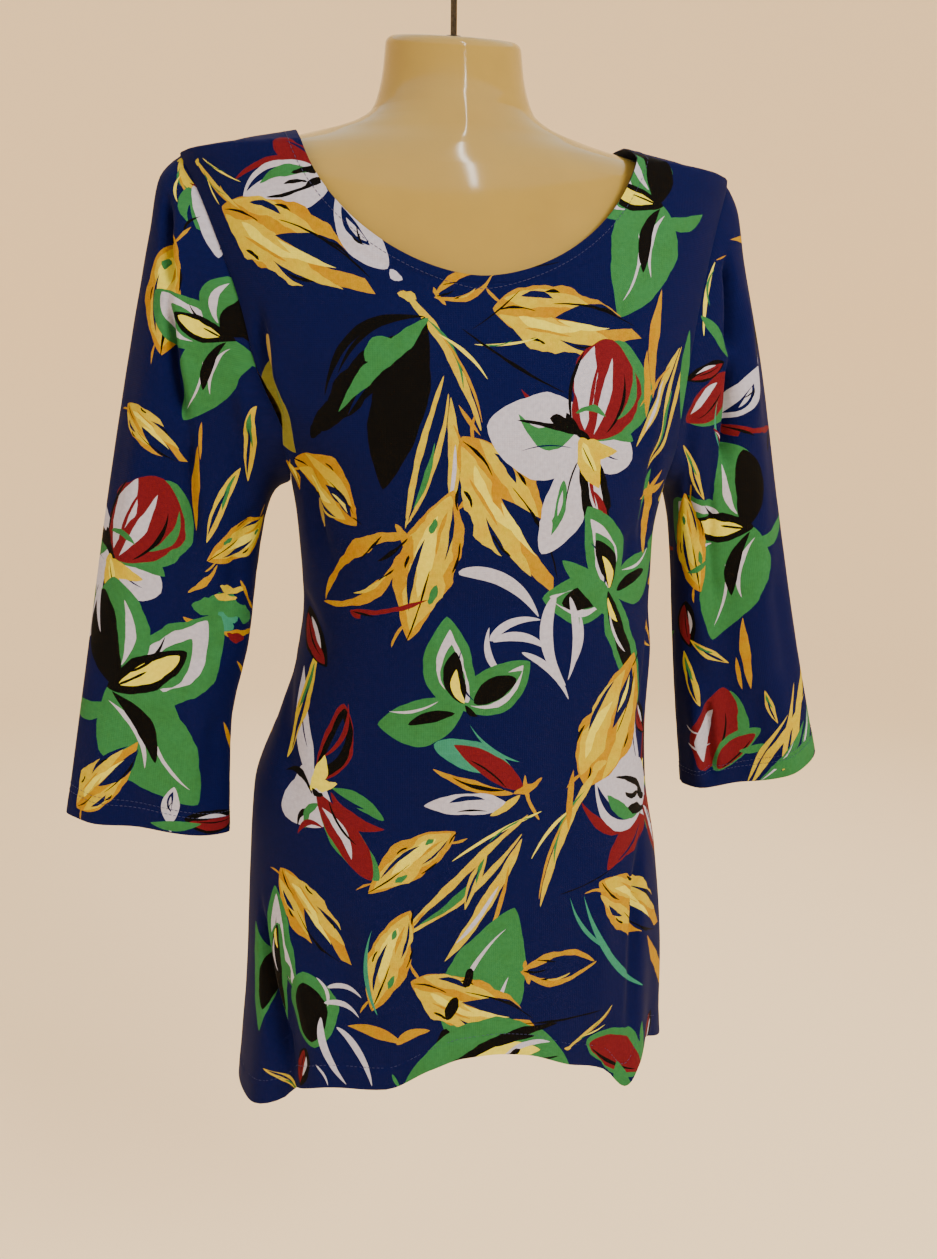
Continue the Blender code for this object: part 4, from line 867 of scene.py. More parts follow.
# Columns: motif, base across and up in the piece's flat measures, length, degrees clockwise
# from up, mirrored. The back's own rows fill what the carried ones leave open.
motifRows = {
    "front": [
        ("longBlossom", 0.134, -0.025, 0.088, -157, 0),
        ("roundPetal", -0.102, -0.024, 0.058, -103, 0),
        ("whitePetal", -0.094, -0.035, 0.056, 142, 0),
        ("eyeLeaf", -0.177, -0.038, 0.123, 118, 1),
        ("openLeaf", -0.031, -0.097, 0.042, 66, 0),
        ("eyeLeaf", 0.007, -0.103, 0.11, 98, 1),
        ("paleLine", -0.006, -0.126, 0.043, 83, 0),
        ("blackLine", 0.016, -0.077, 0.038, 82, 0),
        ("blackLine", -0.008, -0.117, 0.043, 52, 0),
        ("blackLine", -0.014, -0.116, 0.079, 120, 0),
        ("stem", -0.051, -0.093, 0.1, 151, 1),
        ("nightLeaf", -0.035, -0.11, 0.113, -163, 0),
        ("greenBlade", 0.013, -0.167, 0.015, -161, 0),
        ("reed", -0.026, -0.146, 0.101, -167, 1),
        ("fullLeaf", -0.02, -0.218, 0.106, -164, 0),
        ("eyeLeaf", -0.015, -0.184, 0.124, 148, 1),
        ("goldBlade", -0.017, -0.164, 0.024, 144, 0),
        ("openLeaf", -0.047, -0.248, 0.089, -124, 1),
        ("broadLeaf", -0.136, -0.2, 0.066, 131, 1),
        ("oliveBlade", -0.154, -0.137, 0.063, 161, 0),
        ("broadLeaf", -0.143, -0.2, 0.024, -165, 0),
        ("tricolour", 0.068, -0.186, 0.067, 12, 0),
        ("blossom", 0.1, -0.29, 0.066, -24, 1),
        ("greenBlade", 0.056, -0.266, 0.077, 134, 1),
        ("darkBlade", 0.097, -0.288, 0.107, 153, 0),
        ("reed", 0.167, -0.114, 0.099, -159, 0),
        ("goldBlade", 0.134, -0.085, 0.074, -172, 0),
        ("goldBlade", 0.121, -0.126, 0.045, -178, 0),
        ("greenBlade", 0.169, -0.11, 0.062, 180, 0),
        ("scrap", 0.188, -0.285, 0.089, -28, 0),
        ("greenBlade", 0.127, -0.242, 0.037, 19, 0),
        ("goldBlade", 0.15, -0.207, 0.024, -151, 0),
        ("goldBlade", 0.123, -0.227, 0.042, 73, 0),
        ("stem", -0.197, 0.004, 0.058, 141, 0),
        ("paleLine", -0.191, 0.005, 0.04, 129, 0),
        ("whiteStroke", -0.016, -0.272, 0.066, 120, 1),
        ("whiteStroke", 0.014, -0.343, 0.033, -14, 1),
        ("whiteStroke", 0.006, -0.32, 0.039, 71, 1),
        ("whiteStroke", 0.008, -0.32, 0.043, 103, 1),
        ("whiteArc", 0.029, -0.329, 0.053, 135, 1),
        ("whiteStroke", 0.052, -0.291, 0.066, 170, 0),
        ("whiteArc", 0.064, -0.292, 0.06, 179, 1),
        ("whiteArc", 0.073, -0.306, 0.038, -172, 1),
        ("blossom", -0.011, -0.366, 0.064, -11, 0),
        ("tealArc", -0.006, -0.38, 0.047, 129, 0),
        ("redTwig", -0.093, -0.303, 0.058, 79, 0),
        ("beak", 0.028, -0.432, 0.068, -75, 0),
        ("fullLeaf", -0.015, -0.459, 0.078, -127, 0),
        ("paleLine", 0.049, -0.449, 0.074, -116, 0),
        ("reed", 0.038, -0.45, 0.13, -136, 1),
        ("slit", 0.008, -0.476, 0.045, -159, 0),
        ("fullLeaf", -0.047, -0.519, 0.084, -160, 0),
        ("tealArc", -0.075, -0.534, 0.067, 177, 0),
        ("eyeLeaf", -0.149, -0.498, 0.088, 139, 0),
        ("sideFlower", -0.118, -0.428, 0.082, -16, 0),
        ("sideFlower", 0.153, -0.452, 0.082, -14, 0),
        ("roundPetal", 0.162, -0.455, 0.074, -66, 1),
        ("goldBlade", 0.187, -0.316, 0.04, 176, 0),
        ("darkPetal", 0.145, -0.38, 0.04, 145, 0),
        ("slit", 0.213, -0.538, 0.04, 173, 0),
        ("openLeaf", 0.153, -0.321, 0.03, 137, 0),
        ("slit", -0.128, -0.337, 0.083, -164, 1),
        ("darkPetal", -0.157, -0.309, 0.056, 131, 0),
        ("broadLeaf", 0.085, -0.435, 0.105, 25, 0),
        ("stem", 0.1, -0.417, 0.117, -154, 0),
        ("goldBlade", 0.074, -0.421, 0.046, -177, 0),
        ("eyeLeaf", 0.098, -0.512, 0.107, 126, 0),
        ("blackLine", 0.064, -0.515, 0.046, 77, 0),
        ("tealArc", 0.073, -0.519, 0.06, 144, 0),
        ("tealArc", 0.085, -0.52, 0.114, 145, 0),
        ("goldBlade", 0.159, -0.575, 0.096, 143, 0),
        ("greenLeaf", -0.006, -0.634, 0.119, 17, 0),
        ("openLeaf", 0.034, -0.571, 0.062, 91, 0),
        ("eyeLeaf", -0.047, -0.573, 0.106, 116, 1),
        ("blackLine", 0.035, -0.613, 0.068, 92, 0),
        ("blackBlot", -0.008, -0.578, 0.016, 16, 0),
        ("blackBlot", -0.021, -0.604, 0.02, 21, 0),
        ("blackBlot", -0.027, -0.631, 0.021, 16, 0),
        ("halfMoon", 0.078, -0.667, 0.131, -87, 0),
        ("bud", 0.092, -0.639, 0.075, 127, 0),
        ("stem", 0.072, -0.642, 0.049, 56, 0),
        ("greenBlade", 0.149, -0.643, 0.041, 178, 0),
        ("greenBlade", -0.172, -0.636, 0.085, -7, 0),
        ("blackBlade", -0.164, -0.568, 0.05, -174, 0),
        ("openPetal", -0.136, -0.589, 0.078, -14, 0),
        ("darkBlade", -0.151, -0.541, 0.08, 178, 0),
        ("darkBud", -0.128, -0.573, 0.058, 170, 0),
        ("whiteStroke", -0.11, -0.583, 0.027, 103, 1),
        ("whiteStroke", -0.112, -0.595, 0.028, 112, 1),
        ("whiteArc", -0.114, -0.606, 0.055, 160, 0),
        ("whiteArc", -0.103, -0.614, 0.051, 148, 1),
        ("whiteArc", -0.118, -0.644, 0.018, 149, 1),
        ("goldBird", -0.095, -0.613, 0.062, 89, 0),
        ("greenBlade", -0.061, -0.647, 0.013, 153, 0),
        ("slit", -0.133, -0.679, 0.037, -65, 0),
        ("darkPetal", -0.126, -0.633, 0.035, -168, 0),
        ("darkPetal", 0.178, -0.649, 0.037, -161, 0),
    ],
    "back": [
        ("tricolour", 0.085, -0.1, 0.075, 20, 0),
        ("fullLeaf", 0.03, -0.12, 0.1, 200, 0),
        ("blossom", 0.1, -0.24, 0.085, -20, 1),
        ("eyeLeaf", 0.16, -0.03, 0.09, 200, 0),
        ("reed", 0.155, -0.17, 0.13, 190, 0),
        ("goldBlade", 0.055, -0.3, 0.06, 10, 0),
        ("eyeLeaf", 0.16, -0.4, 0.11, -120, 0),
        ("longBlossom", 0.085, -0.49, 0.08, 150, 0),
        ("greenLeaf", -0.02, -0.61, 0.12, -20, 0),
        ("broadLeaf", 0.165, -0.5, 0.11, 200, 1),
        ("tealArc", 0.02, -0.48, 0.08, 30, 0),
        ("tricolour", -0.125, -0.6, 0.075, -30, 1),
        ("openLeaf", 0.03, -0.55, 0.07, 80, 0),
        ("whiteStroke", 0.12, -0.59, 0.07, 150, 0),
        ("whiteArc", 0.135, -0.59, 0.07, 160, 0),
        ("redTwig", 0.1, -0.44, 0.05, 80, 0),
        ("eyeLeaf", -0.205, -0.61, 0.1, 130, 0),
        ("nightLeaf", 0.12, -0.32, 0.12, 190, 1),
        ("stem", 0, -0.47, 0.1, 200, 1),
        ("greenBlade", 0.19, -0.28, 0.05, 10, 0),
        ("slit", 0.125, -0.16, 0.07, -15, 0),
        ("goldBird", 0.09, -0.67, 0.07, 80, 0),
        ("darkPetal", -0.065, -0.55, 0.05, 40, 0),
        ("fullLeaf", -0.14, -0.5, 0.09, 230, 0),
    ],
    "left": [
        ("openLeaf", -0.055, -0.17, 0.06, 30, 0),
        ("fullLeaf", -0.03, -0.43, 0.08, 190, 0),
        ("greenBlade", -0.05, -0.28, 0.05, 20, 0),
        ("stem", 0.009, -0.042, 0.051, 131, 0),
        ("paleLine", 0.021, -0.043, 0.036, 141, 0),
        ("slimPetal", 0.027, -0.059, 0.057, 142, 0),
        ("fullLeaf", 0.035, -0.094, 0.081, 172, 0),
        ("longBlossom", 0.087, -0.154, 0.064, -161, 0),
        ("eyeLeaf", 0.019, -0.211, 0.06, 121, 0),
        ("goldBlade", 0.078, -0.229, 0.059, 175, 0),
        ("goldBlade", 0.079, -0.212, 0.026, 175, 0),
        ("slit", 0.112, -0.193, 0.053, 173, 0),
        ("slit", 0.111, -0.238, 0.059, -161, 0),
        ("fullLeaf", 0.148, -0.268, 0.067, -125, 1),
        ("tricolour", 0.022, -0.318, 0.067, 20, 0),
        ("scrap", 0.097, -0.359, 0.053, 12, 0),
        ("scrap", 0.126, -0.362, 0.046, -10, 1),
        ("longBlossom", 0.033, -0.409, 0.107, 141, 1),
        ("eyeLeaf", 0.015, -0.509, 0.073, 34, 0),
        ("whitePetal", 0.085, -0.478, 0.03, -179, 0),
        ("darkPetal", 0.094, -0.502, 0.047, 90, 0),
        ("greenBlade", 0.07, -0.51, 0.037, 82, 0),
        ("goldBlade", 0.119, -0.426, 0.041, 148, 0),
        ("goldBlade", 0.125, -0.378, 0.027, 128, 0),
        ("whiteArc", 0.016, -0.322, 0.052, 177, 0),
    ],
    "right": [
        ("eyeLeaf", -0.04, -0.11, 0.09, 160, 0),
        ("fullLeaf", -0.05, -0.23, 0.07, 200, 0),
        ("tricolour", -0.05, -0.42, 0.045, 10, 0),
        ("goldBlade", 0.035, -0.091, 0.035, -92, 0),
        ("goldBlade", 0.051, -0.103, 0.009, -76, 0),
        ("paleLine", 0.052, -0.104, 0.056, 150, 0),
        ("blackBlade", 0.003, -0.095, 0.05, -178, 0),
        ("blackBlade", 0.001, -0.144, 0.051, 132, 0),
        ("greenBlade", 0.076, -0.138, 0.037, -157, 0),
        ("redPetal", 0.105, -0.21, 0.049, -54, 0),
        ("darkPetal", 0.099, -0.179, 0.032, -81, 0),
        ("whitePetal", 0.07, -0.217, 0.047, -44, 0),
        ("redTwig", 0.071, -0.222, 0.073, -101, 0),
        ("tealArc", 0.078, -0.2, 0.036, 179, 0),
        ("redCurve", 0.084, -0.219, 0.036, -171, 1),
        ("longBlossom", 0.055, -0.305, 0.098, 158, 0),
        ("blackBlade", 0.018, -0.236, 0.018, 150, 0),
        ("slit", 0.111, -0.226, 0.049, -163, 0),
        ("fullLeaf", 0.118, -0.264, 0.086, -169, 0),
        ("greenBlade", 0.114, -0.33, 0.024, -75, 0),
        ("darkPetal", 0.115, -0.354, 0.043, -179, 0),
        ("goldBlade", 0.066, -0.382, 0.067, 180, 0),
        ("goldBlade", 0.075, -0.417, 0.031, -177, 0),
        ("slit", 0.114, -0.39, 0.045, -134, 0),
        ("slit", 0.12, -0.399, 0.052, -171, 0),
        ("slit", 0.055, -0.453, 0.035, -168, 0),
        ("redPetal", 0.117, -0.515, 0.078, -18, 0),
        ("bud", 0.11, -0.518, 0.056, -59, 0),
        ("grass", 0.046, -0.544, 0.119, -25, 0),
        ("grass", 0.079, -0.541, 0.096, -45, 0),
        ("greenBlade", 0.06, -0.529, 0.066, -80, 0),
        ("whiteArc", 0.125, -0.467, 0.015, -126, 0),
        ("whiteArc", 0.126, -0.484, 0.02, -120, 0),
    ],
}
# how the print goes on where it is hidden: metres across and up, and the field it wraps in
carriedOn = {
    "back": {
        "across": 0.115,
        "up": 0.17,
        "wide": 0.47,
        "high": 0.76,
        "top": 0.05,
        "without": ("halfMoon", "blackBlot"),
    },
    "left": {"across": 0.155, "up": -0.075, "high": 0.47, "foot": -0.53},
    "right": {"across": 0.142, "up": -0.075, "high": 0.47, "foot": -0.53},
}


def everyMotif(piece):
    # the back: the front's rows mirrored and lifted, wrapped by across = (q mod wide), then
    # its own; a sleeve: its rows moved round to its far side, then as they are
    move, rows = carriedOn.get(piece), []
    if piece == "back":
        for kind, q, h, length, turn, flip in motifRows["front"]:
            q = (move["wide"] / 2 - q - move["across"]) % move["wide"] - move["wide"] / 2
            h = h + move["up"] - (move["high"] if h + move["up"] > move["top"] else 0)
            if kind not in move["without"]:
                rows.append((kind, q, h, length, -turn, 1 - flip))
    elif move:
        for kind, q, h, length, turn, flip in motifRows[piece]:
            h = h + move["up"] + (move["high"] if h + move["up"] < move["foot"] else 0)
            rows.append((kind, q - move["across"], h, length, turn, flip))
    return rows + motifRows[piece]


# each a soft ridge (or trough, if the rise is negative) along a bowed line in a piece's flat
# measures. Columns: from across and up, to across and up, bow, width, rise
fineCreases = {
    "front": [
        (-0.152, -0.099, -0.138, -0.195, 0.06, 0.006, -0.0085),
        (-0.14, -0.118, -0.139, -0.229, 0.05, 0.0095, 0.0036),
        (-0.126, -0.187, -0.125, -0.271, 0.06, 0.008, -0.0044),
        (-0.13, -0.214, -0.097, -0.288, 0.1, 0.009, -0.0032),
        (-0.177, -0.3, -0.109, -0.355, -0.15, 0.01, -0.0034),
        (-0.181, -0.355, -0.131, -0.457, -0.04, 0.012, -0.0032),
        (-0.173, -0.531, -0.144, -0.668, 0.02, 0.0055, -0.013),
        (-0.147, -0.521, -0.115, -0.65, 0.02, 0.012, 0.0052),
        (0.132, -0.173, 0.132, -0.271, -0.05, 0.008, -0.0048),
        (0.117, -0.132, 0.131, -0.207, -0.05, 0.0095, 0.003),
        (0.117, -0.241, 0.1, -0.304, -0.1, 0.009, -0.003),
        (0.168, -0.308, 0.153, -0.431, 0.04, 0.01, -0.0036),
        (0.149, -0.478, 0.134, -0.682, 0.02, 0.0075, -0.0072),
        (0.106, -0.495, 0.104, -0.652, 0.02, 0.014, 0.0038),
        (0.059, -0.365, 0.077, -0.522, 0.04, 0.018, -0.0024),
        (-0.041, -0.405, -0.054, -0.556, -0.04, 0.02, -0.0024),
        (-0.097, -0.511, -0.088, -0.646, 0.02, 0.015, -0.004),
        (-0.003, -0.497, 0.003, -0.622, 0, 0.018, 0.003),
        (-0.079, -0.101, -0.125, -0.175, 0.08, 0.015, -0.002),
        (0.081, -0.095, 0.107, -0.146, -0.08, 0.013, -0.002),
        (-0.069, -0.205, 0.05, -0.213, 0.05, 0.02, -0.0014),
        (-0.084, -0.28, 0.09, -0.297, 0.06, 0.017, -0.0018),
        (-0.061, -0.32, 0.058, -0.329, 0.05, 0.017, 0.0014),
    ],
    "back": [
        (-0.15, -0.3, -0.165, -0.69, 0.02, 0.012, -0.006),
        (-0.12, -0.33, -0.128, -0.69, 0.01, 0.014, 0.0044),
        (-0.08, -0.36, -0.09, -0.69, 0.02, 0.013, -0.0046),
        (-0.03, -0.33, -0.03, -0.69, -0.02, 0.015, 0.004),
        (0.02, -0.38, 0.026, -0.69, 0.02, 0.013, -0.0046),
        (0.065, -0.34, 0.075, -0.69, 0.01, 0.015, 0.0042),
        (0.11, -0.33, 0.122, -0.69, -0.02, 0.012, -0.0054),
        (0.15, -0.3, 0.165, -0.69, -0.02, 0.012, 0.004),
        (-0.12, -0.2, -0.04, -0.3, 0.1, 0.01, -0.0036),
        (0.125, -0.2, 0.04, -0.305, -0.1, 0.01, -0.0038),
        (-0.13, -0.25, -0.01, -0.345, 0.1, 0.011, -0.0034),
        (0.13, -0.245, 0.015, -0.35, -0.1, 0.011, -0.0034),
        (-0.1, -0.33, 0.09, -0.34, 0.06, 0.011, -0.0028),
        (-0.15, -0.06, -0.125, -0.19, 0.06, 0.008, -0.004),
        (0.152, -0.06, 0.128, -0.19, -0.06, 0.008, -0.004),
        (-0.07, -0.04, -0.06, -0.15, 0.04, 0.015, -0.0018),
    ],
    "left": [
        (0.021, -0.068, 0.046, -0.138, 0, 0.0044, -0.0125),
        (0.044, -0.132, 0.067, -0.221, 0.02, 0.0044, -0.0125),
        (0.03, -0.073, 0.072, -0.219, 0, 0.0095, 0.0042),
        (0.07, -0.216, 0.082, -0.307, 0, 0.005, -0.007),
        (0.137, -0.257, 0.115, -0.332, 0.1, 0.006, -0.0032),
        (0.132, -0.302, 0.1, -0.378, 0.1, 0.008, -0.0028),
        (0.127, -0.362, 0.069, -0.413, 0.12, 0.009, -0.0022),
        (0.037, -0.317, 0.037, -0.466, 0.05, 0.01, -0.0032),
        (0.11, -0.408, 0.111, -0.503, 0, 0.008, -0.0036),
        (0.072, -0.427, 0.063, -0.504, 0, 0.01, 0.003),
        (0.118, -0.201, 0.115, -0.259, 0.1, 0.006, -0.0036),
        (0.103, -0.179, 0.123, -0.221, 0.1, 0.006, 0.0026),
    ],
    "right": [
        (0.042, -0.098, 0.06, -0.174, 0, 0.0044, -0.012),
        (0.059, -0.167, 0.076, -0.262, 0, 0.0044, -0.012),
        (0.027, -0.106, 0.058, -0.258, 0, 0.0095, 0.0036),
        (0.089, -0.25, 0.09, -0.377, 0, 0.006, -0.0048),
        (0.094, -0.195, 0.109, -0.246, -0.1, 0.006, -0.004),
        (0.112, -0.245, 0.087, -0.325, -0.1, 0.0065, -0.0036),
        (0.111, -0.354, 0.102, -0.449, -0.05, 0.008, -0.004),
        (0.105, -0.439, 0.114, -0.532, 0, 0.005, -0.009),
        (0.115, -0.437, 0.125, -0.53, 0, 0.007, 0.004),
        (0.033, -0.34, 0.029, -0.472, 0, 0.012, -0.0032),
        (0.063, -0.44, 0.068, -0.538, 0, 0.011, -0.0028),
    ],
}
# a sleeve's far side: moved round and down, wider and lower
creaseRound = {"left": 0.150, "right": 0.138, "down": 0.03, "wider": 1.15, "lower": 0.8}
# widths of a crease at its start and what is added by its end, how far its bell runs at full
# height either side of its middle, and how softly it ends
creaseShape = {"start": 0.7, "more": 0.6, "full": 0.22, "fade": 0.16, "past": 0.3}
cloth = {
    "spacing": 0.0060,  # of the mesh where nothing is printed
    "scatter": 0.22,
    "scatterWaves": (2711, 1931, 1733, 2377),
    "creaseStep": 0.0045,
    "creaseRows": (-1.6, -0.8, -0.3, 0.3, 0.8, 1.6),
    "creasePast": 0.1,
    "clear": {"side": 0.985, "end": 0.004},
    "seamDip": 0.0009,
    "seamWidth": 0.0028,
    "seamAway": {"skirt": 0.28, "shoulder": 0.17, "sleeve": 0.16},  # metres from the middle
    "hemDepth": 0.020,
    "hemStep": 0.0004,
    "hemEase": 0.0006,
    "hemGroove": 0.00035,
    "hemGrooveWidth": 0.0012,
    "neckHem": 0.011,
    "foldMost": 1.2,
    "foldPower": 1.4,
    "sleeveFoldTurn": 0.75,
}
# short steps along u and r: for reading the flat table, and for the cloth's normal
search = {"turns": 9, "stepU": 0.006, "stepR": 0.0016, "mostU": 0.4, "mostR": 0.08, "least": 1e-4}
normalStep = {"u": 0.004, "r": 0.0015}


def everyCrease(piece):
    # a sleeve carries every second crease round to its far side, softer
    rows = fineCreases[piece]
    if piece in panels:
        return rows
    move, down = creaseRound[piece], creaseRound["down"]
    wider, lower = creaseRound["wider"], creaseRound["lower"]
    return rows + [
        (q0 - move, h0 - down, q1 - move, h1 - down, -bow, width * wider, rise * lower)
        for q0, h0, q1, h1, bow, width, rise in rows[::2]
    ]


def creaseWidth(width, t):
    # a crease widens evenly along its length
    return width * (creaseShape["start"] + creaseShape["more"] * np.clip(t, 0, 1))


def gridRead(table, u, r, rows):
    # bilinear reading of a flat table, carried on straight beyond its edges
    lastU, lastR = table.shape[0] - 1, table.shape[1] - 1
    a, b = (u + 1) * (lastU / 2), (r - rows[0]) / (rows[1] - rows[0]) * lastR
    i = np.clip(np.floor(a).astype(int), 0, lastU - 1)
    j = np.clip(np.floor(b).astype(int), 0, lastR - 1)
    s, t = a - i, b - j
    return (
        table[i, j] * (1 - s) * (1 - t)
        + table[i + 1, j] * s * (1 - t)
        + table[i, j + 1] * (1 - s) * t
        + table[i + 1, j + 1] * s * t
    )


def flatToPanel(piece, grid, points):
    # Newton steps from the nearest table entry: finds u, r where flat measures are the points'
    rows = pieces[piece]["rows"]
    middle = points.mean(0)
    start = np.argmin((grid["q"] - middle[0]) ** 2 + (grid["h"] - middle[1]) ** 2)
    u = np.full(len(points), grid["u"].ravel()[start])
    r = np.full(len(points), grid["r"].ravel()[start])
    du, dr = search["stepU"], search["stepR"]
    for turn in range(search["turns"]):
        q, h = (gridRead(grid[k], u, r, rows) for k in ("q", "h"))
        qu, hu = ((gridRead(grid[k], u + du, r, rows) - v) / du for k, v in (("q", q), ("h", h)))
        qr, hr = ((gridRead(grid[k], u, r + dr, rows) - v) / dr for k, v in (("q", q), ("h", h)))
        missQ, missH = points[:, 0] - q, points[:, 1] - h
        size = qu * hr - qr * hu
        size = np.where(np.abs(size) < search["least"], search["least"], size)
        u = u + np.clip((missQ * hr - missH * qr) / size, -search["mostU"], search["mostU"])
        r = r + np.clip((missH * qu - missQ * hu) / size, -search["mostR"], search["mostR"])
    return np.stack([u, r], -1)


def pieceOutlines(piece, grid):
    # every brush shape of the piece's motifs as an outline on its (u, r) rectangle
    low, high = pieces[piece]["rows"]
    mirrored, least = piece in ("right", "back"), 0.001
    found = []
    for number, (kind, q, h, length, turn, flip) in enumerate(everyMotif(piece)):
        flipped, seed = bool(flip) != mirrored, number * brush["motifSeed"]
        for ink, outline in motifShapes(kind, q, h, length, turn, flipped, seed):
            spots = flatToPanel(piece, grid, outline)
            if spots[:, 0].min() > 1 - least or spots[:, 0].max() < least - 1:
                continue
            if spots[:, 1].min() > high - least or spots[:, 1].max() < low + least:
                continue
            spots[:, 0] = np.clip(spots[:, 0], -1, 1) * pieces[piece]["span"]
            spots[:, 1] = np.clip(spots[:, 1], low, high)
            found.append((ink, spots))
    return found


def insideOutline(outline, spots):
    # even-odd crossing count of a ray to the right, kept to the outline's own box
    result = np.zeros(len(spots), bool)
    low, high = outline.min(0), outline.max(0)
    near = np.nonzero(np.all((spots >= low) & (spots <= high), axis=1))[0]
    if not len(near):
        return result
    x, y = spots[near, 0][:, None], spots[near, 1][:, None]
    ax, ay = outline[:, 0][None], outline[:, 1][None]
    bx, by = np.roll(outline[:, 0], -1)[None], np.roll(outline[:, 1], -1)[None]
    crosses = (ay > y) != (by > y)
    edge = ax + (y - ay) / np.where(by == ay, 1e-12, by - ay) * (bx - ax)
    result[near] = np.sum(crosses & (x < edge), axis=1) % 2 == 1
    return result


def creasePoints(piece, grid):
    # rows of extra points beside every crease, so that the mesh follows its bend
    found, past = [], cloth["creasePast"]
    for q0, h0, q1, h1, bow, width, rise in everyCrease(piece):
        length = math.hypot(q1 - q0, h1 - h0)
        steps = np.arange(-past, 1 + past, cloth["creaseStep"] / length)
        t, part = np.meshgrid(steps, np.array(cloth["creaseRows"]), indexing="ij")
        away = part * creaseWidth(width, t) + bow * length * 4 * t * (1 - t)
        q = q0 + t * (q1 - q0) + away * (h1 - h0) / length
        h = h0 + t * (h1 - h0) - away * (q1 - q0) / length
        found.append(np.stack([q.ravel(), h.ravel()], -1))
    spots = np.concatenate([flatToPanel(piece, grid, points) for points in found])
    (low, high), clear = pieces[piece]["rows"], cloth["clear"]
    inside = (spots[:, 1] > low + clear["end"]) & (spots[:, 1] < high - clear["end"])
    return spots[inside & (np.abs(spots[:, 0]) < clear["side"])] * (pieces[piece]["span"], 1)


def printedMesh(piece, outlines, extra):
    # triangles over the rectangle whose edges follow every outline; its own points are
    # scattered a little by sines, so that the triangles don't line up
    span, (low, high) = pieces[piece]["span"], pieces[piece]["rows"]
    countU = int(round(2 * span / cloth["spacing"])) + 1
    countR = int(round((high - low) / cloth["spacing"])) + 1
    a, b = np.meshgrid(np.linspace(-span, span, countU), np.linspace(low, high, countR), indexing="ij")
    inside = np.zeros_like(a, bool)
    inside[1:-1, 1:-1] = True
    scatter, waves = cloth["scatter"] * cloth["spacing"], cloth["scatterWaves"]
    a = a + scatter * np.sin(a * waves[0] + b * waves[1]) * inside
    b = b + scatter * np.cos(a * waves[2] - b * waves[3]) * inside
    at = np.arange(a.size).reshape(a.shape)
    ring = np.r_[at[:-1, 0], at[-1, :-1], at[:0:-1, -1], at[0, :0:-1]]
    points, edges = [np.stack([a.ravel(), b.ravel()], -1), extra], [np.stack([ring, np.roll(ring, -1)], -1)]
    count = a.size + len(extra)
    for ink, spots in outlines:
        here = np.arange(count, count + len(spots))
        points.append(spots)
        edges.append(np.stack([here, np.roll(here, -1)], -1))
        count += len(spots)
    corners, links = [Vector(p) for p in np.concatenate(points)], np.concatenate(edges).tolist()
    spots, _, faces = delaunay_2d_cdt(corners, links, [], 0, 1e-6, False)[:3]
    return np.array([tuple(p) for p in spots]), np.array([tuple(f) for f in faces])


def foldHeight(piece, u, r, where):
    # sum of rise * grow * exp(-((place - centre) / width) ** 2)
    height = np.zeros_like(u)
    if piece in panels:
        x, z = where[..., 0], where[..., 2]
        left, right = readTable(bodySections, z)[:2]
        across = x / np.where(x < 0, left, right)
        for centre, top, foot, width, rise in bodyFolds[piece]:
            grow = np.clip((top - z) / (top - foot), 0, cloth["foldMost"]) ** cloth["foldPower"]
            height += rise * grow * np.exp(-(((across - centre) / width) ** 2))
    else:
        along, degrees = r / sleeveCut["length"], np.degrees(u * math.pi) % 360
        for centre, top, foot, width, rise in sleeveFolds[piece]:
            turn = math.pi * cloth["sleeveFoldTurn"]
            grow = np.sin(np.clip((along - top) / (foot - top), 0, 1) * turn)
            height += rise * grow * np.exp(-(((degrees - centre) / width) ** 2))
    return height


def creaseHeight(piece, q, h):
    # ridges and troughs along bowed lines: rise * bell across the line * fade at its ends
    height, past = np.zeros_like(q), creaseShape["past"]
    for q0, h0, q1, h1, bow, width, rise in everyCrease(piece):
        length = math.hypot(q1 - q0, h1 - h0)
        dq, dh = (q1 - q0) / length, (h1 - h0) / length
        t = np.clip(((q - q0) * dq + (h - h0) * dh) / length, -past, 1 + past)
        away = (q - q0) * dh - (h - h0) * dq - bow * length * 4 * t * (1 - t)
        beyond = np.maximum(0, np.abs(t - 0.5) - creaseShape["full"])
        fade = np.exp(-((beyond / creaseShape["fade"]) ** 2))
        height += rise * fade * np.exp(-((away / creaseWidth(width, t)) ** 2))
    return height


def seamDip(piece, u, r):
    # the cloth dips towards a seam: depth * exp(-(distance / width) ** 2)
    far = cloth["seamAway"]
    if piece in panels:
        away = (1 - np.abs(u)) * np.where(r > 0, far["shoulder"], far["skirt"])
    else:
        away = np.minimum(r, (1 - np.abs(u)) * far["sleeve"])
    return -cloth["seamDip"] * np.exp(-((away / cloth["seamWidth"]) ** 2))


def hemStep(piece, r):
    # the turned hem makes the edge a little fuller, with a groove where it is sewn; a
    # panel's upper end is its neckline, where a row is ridgeStretch times as far as it looks
    low, high = pieces[piece]["rows"]
    away = high - r
    if piece in panels:
        neck = np.where(away < 0.0, 0.0, away / bodyCut["ridgeStretch"] + cloth["neckHem"])
        away = np.minimum(r - low, neck)
    away = away - cloth["hemDepth"]
    full = cloth["hemStep"] * (1 - np.tanh(away / cloth["hemEase"] / 2)) / 2
    return full - cloth["hemGroove"] * np.exp(-((away / cloth["hemGrooveWidth"]) ** 2))


def steppedNormal(point, piece, u, r):
    # cross product of short steps along u and r, both taken towards the piece's middle
    low, high = pieces[piece]["rows"]
    du = np.where(u > 0, -normalStep["u"], normalStep["u"])
    dr = np.where(r > (low + high) / 2, -normalStep["r"], normalStep["r"])
    here = point(u, r)
    stepU = (point(u + du, r) - here) * np.sign(du)[..., None]
    stepR = (point(u, r + dr) - here) * np.sign(dr)[..., None]
    return unitVectors(np.cross(stepU, stepR)) * pieces[piece]["flip"], here


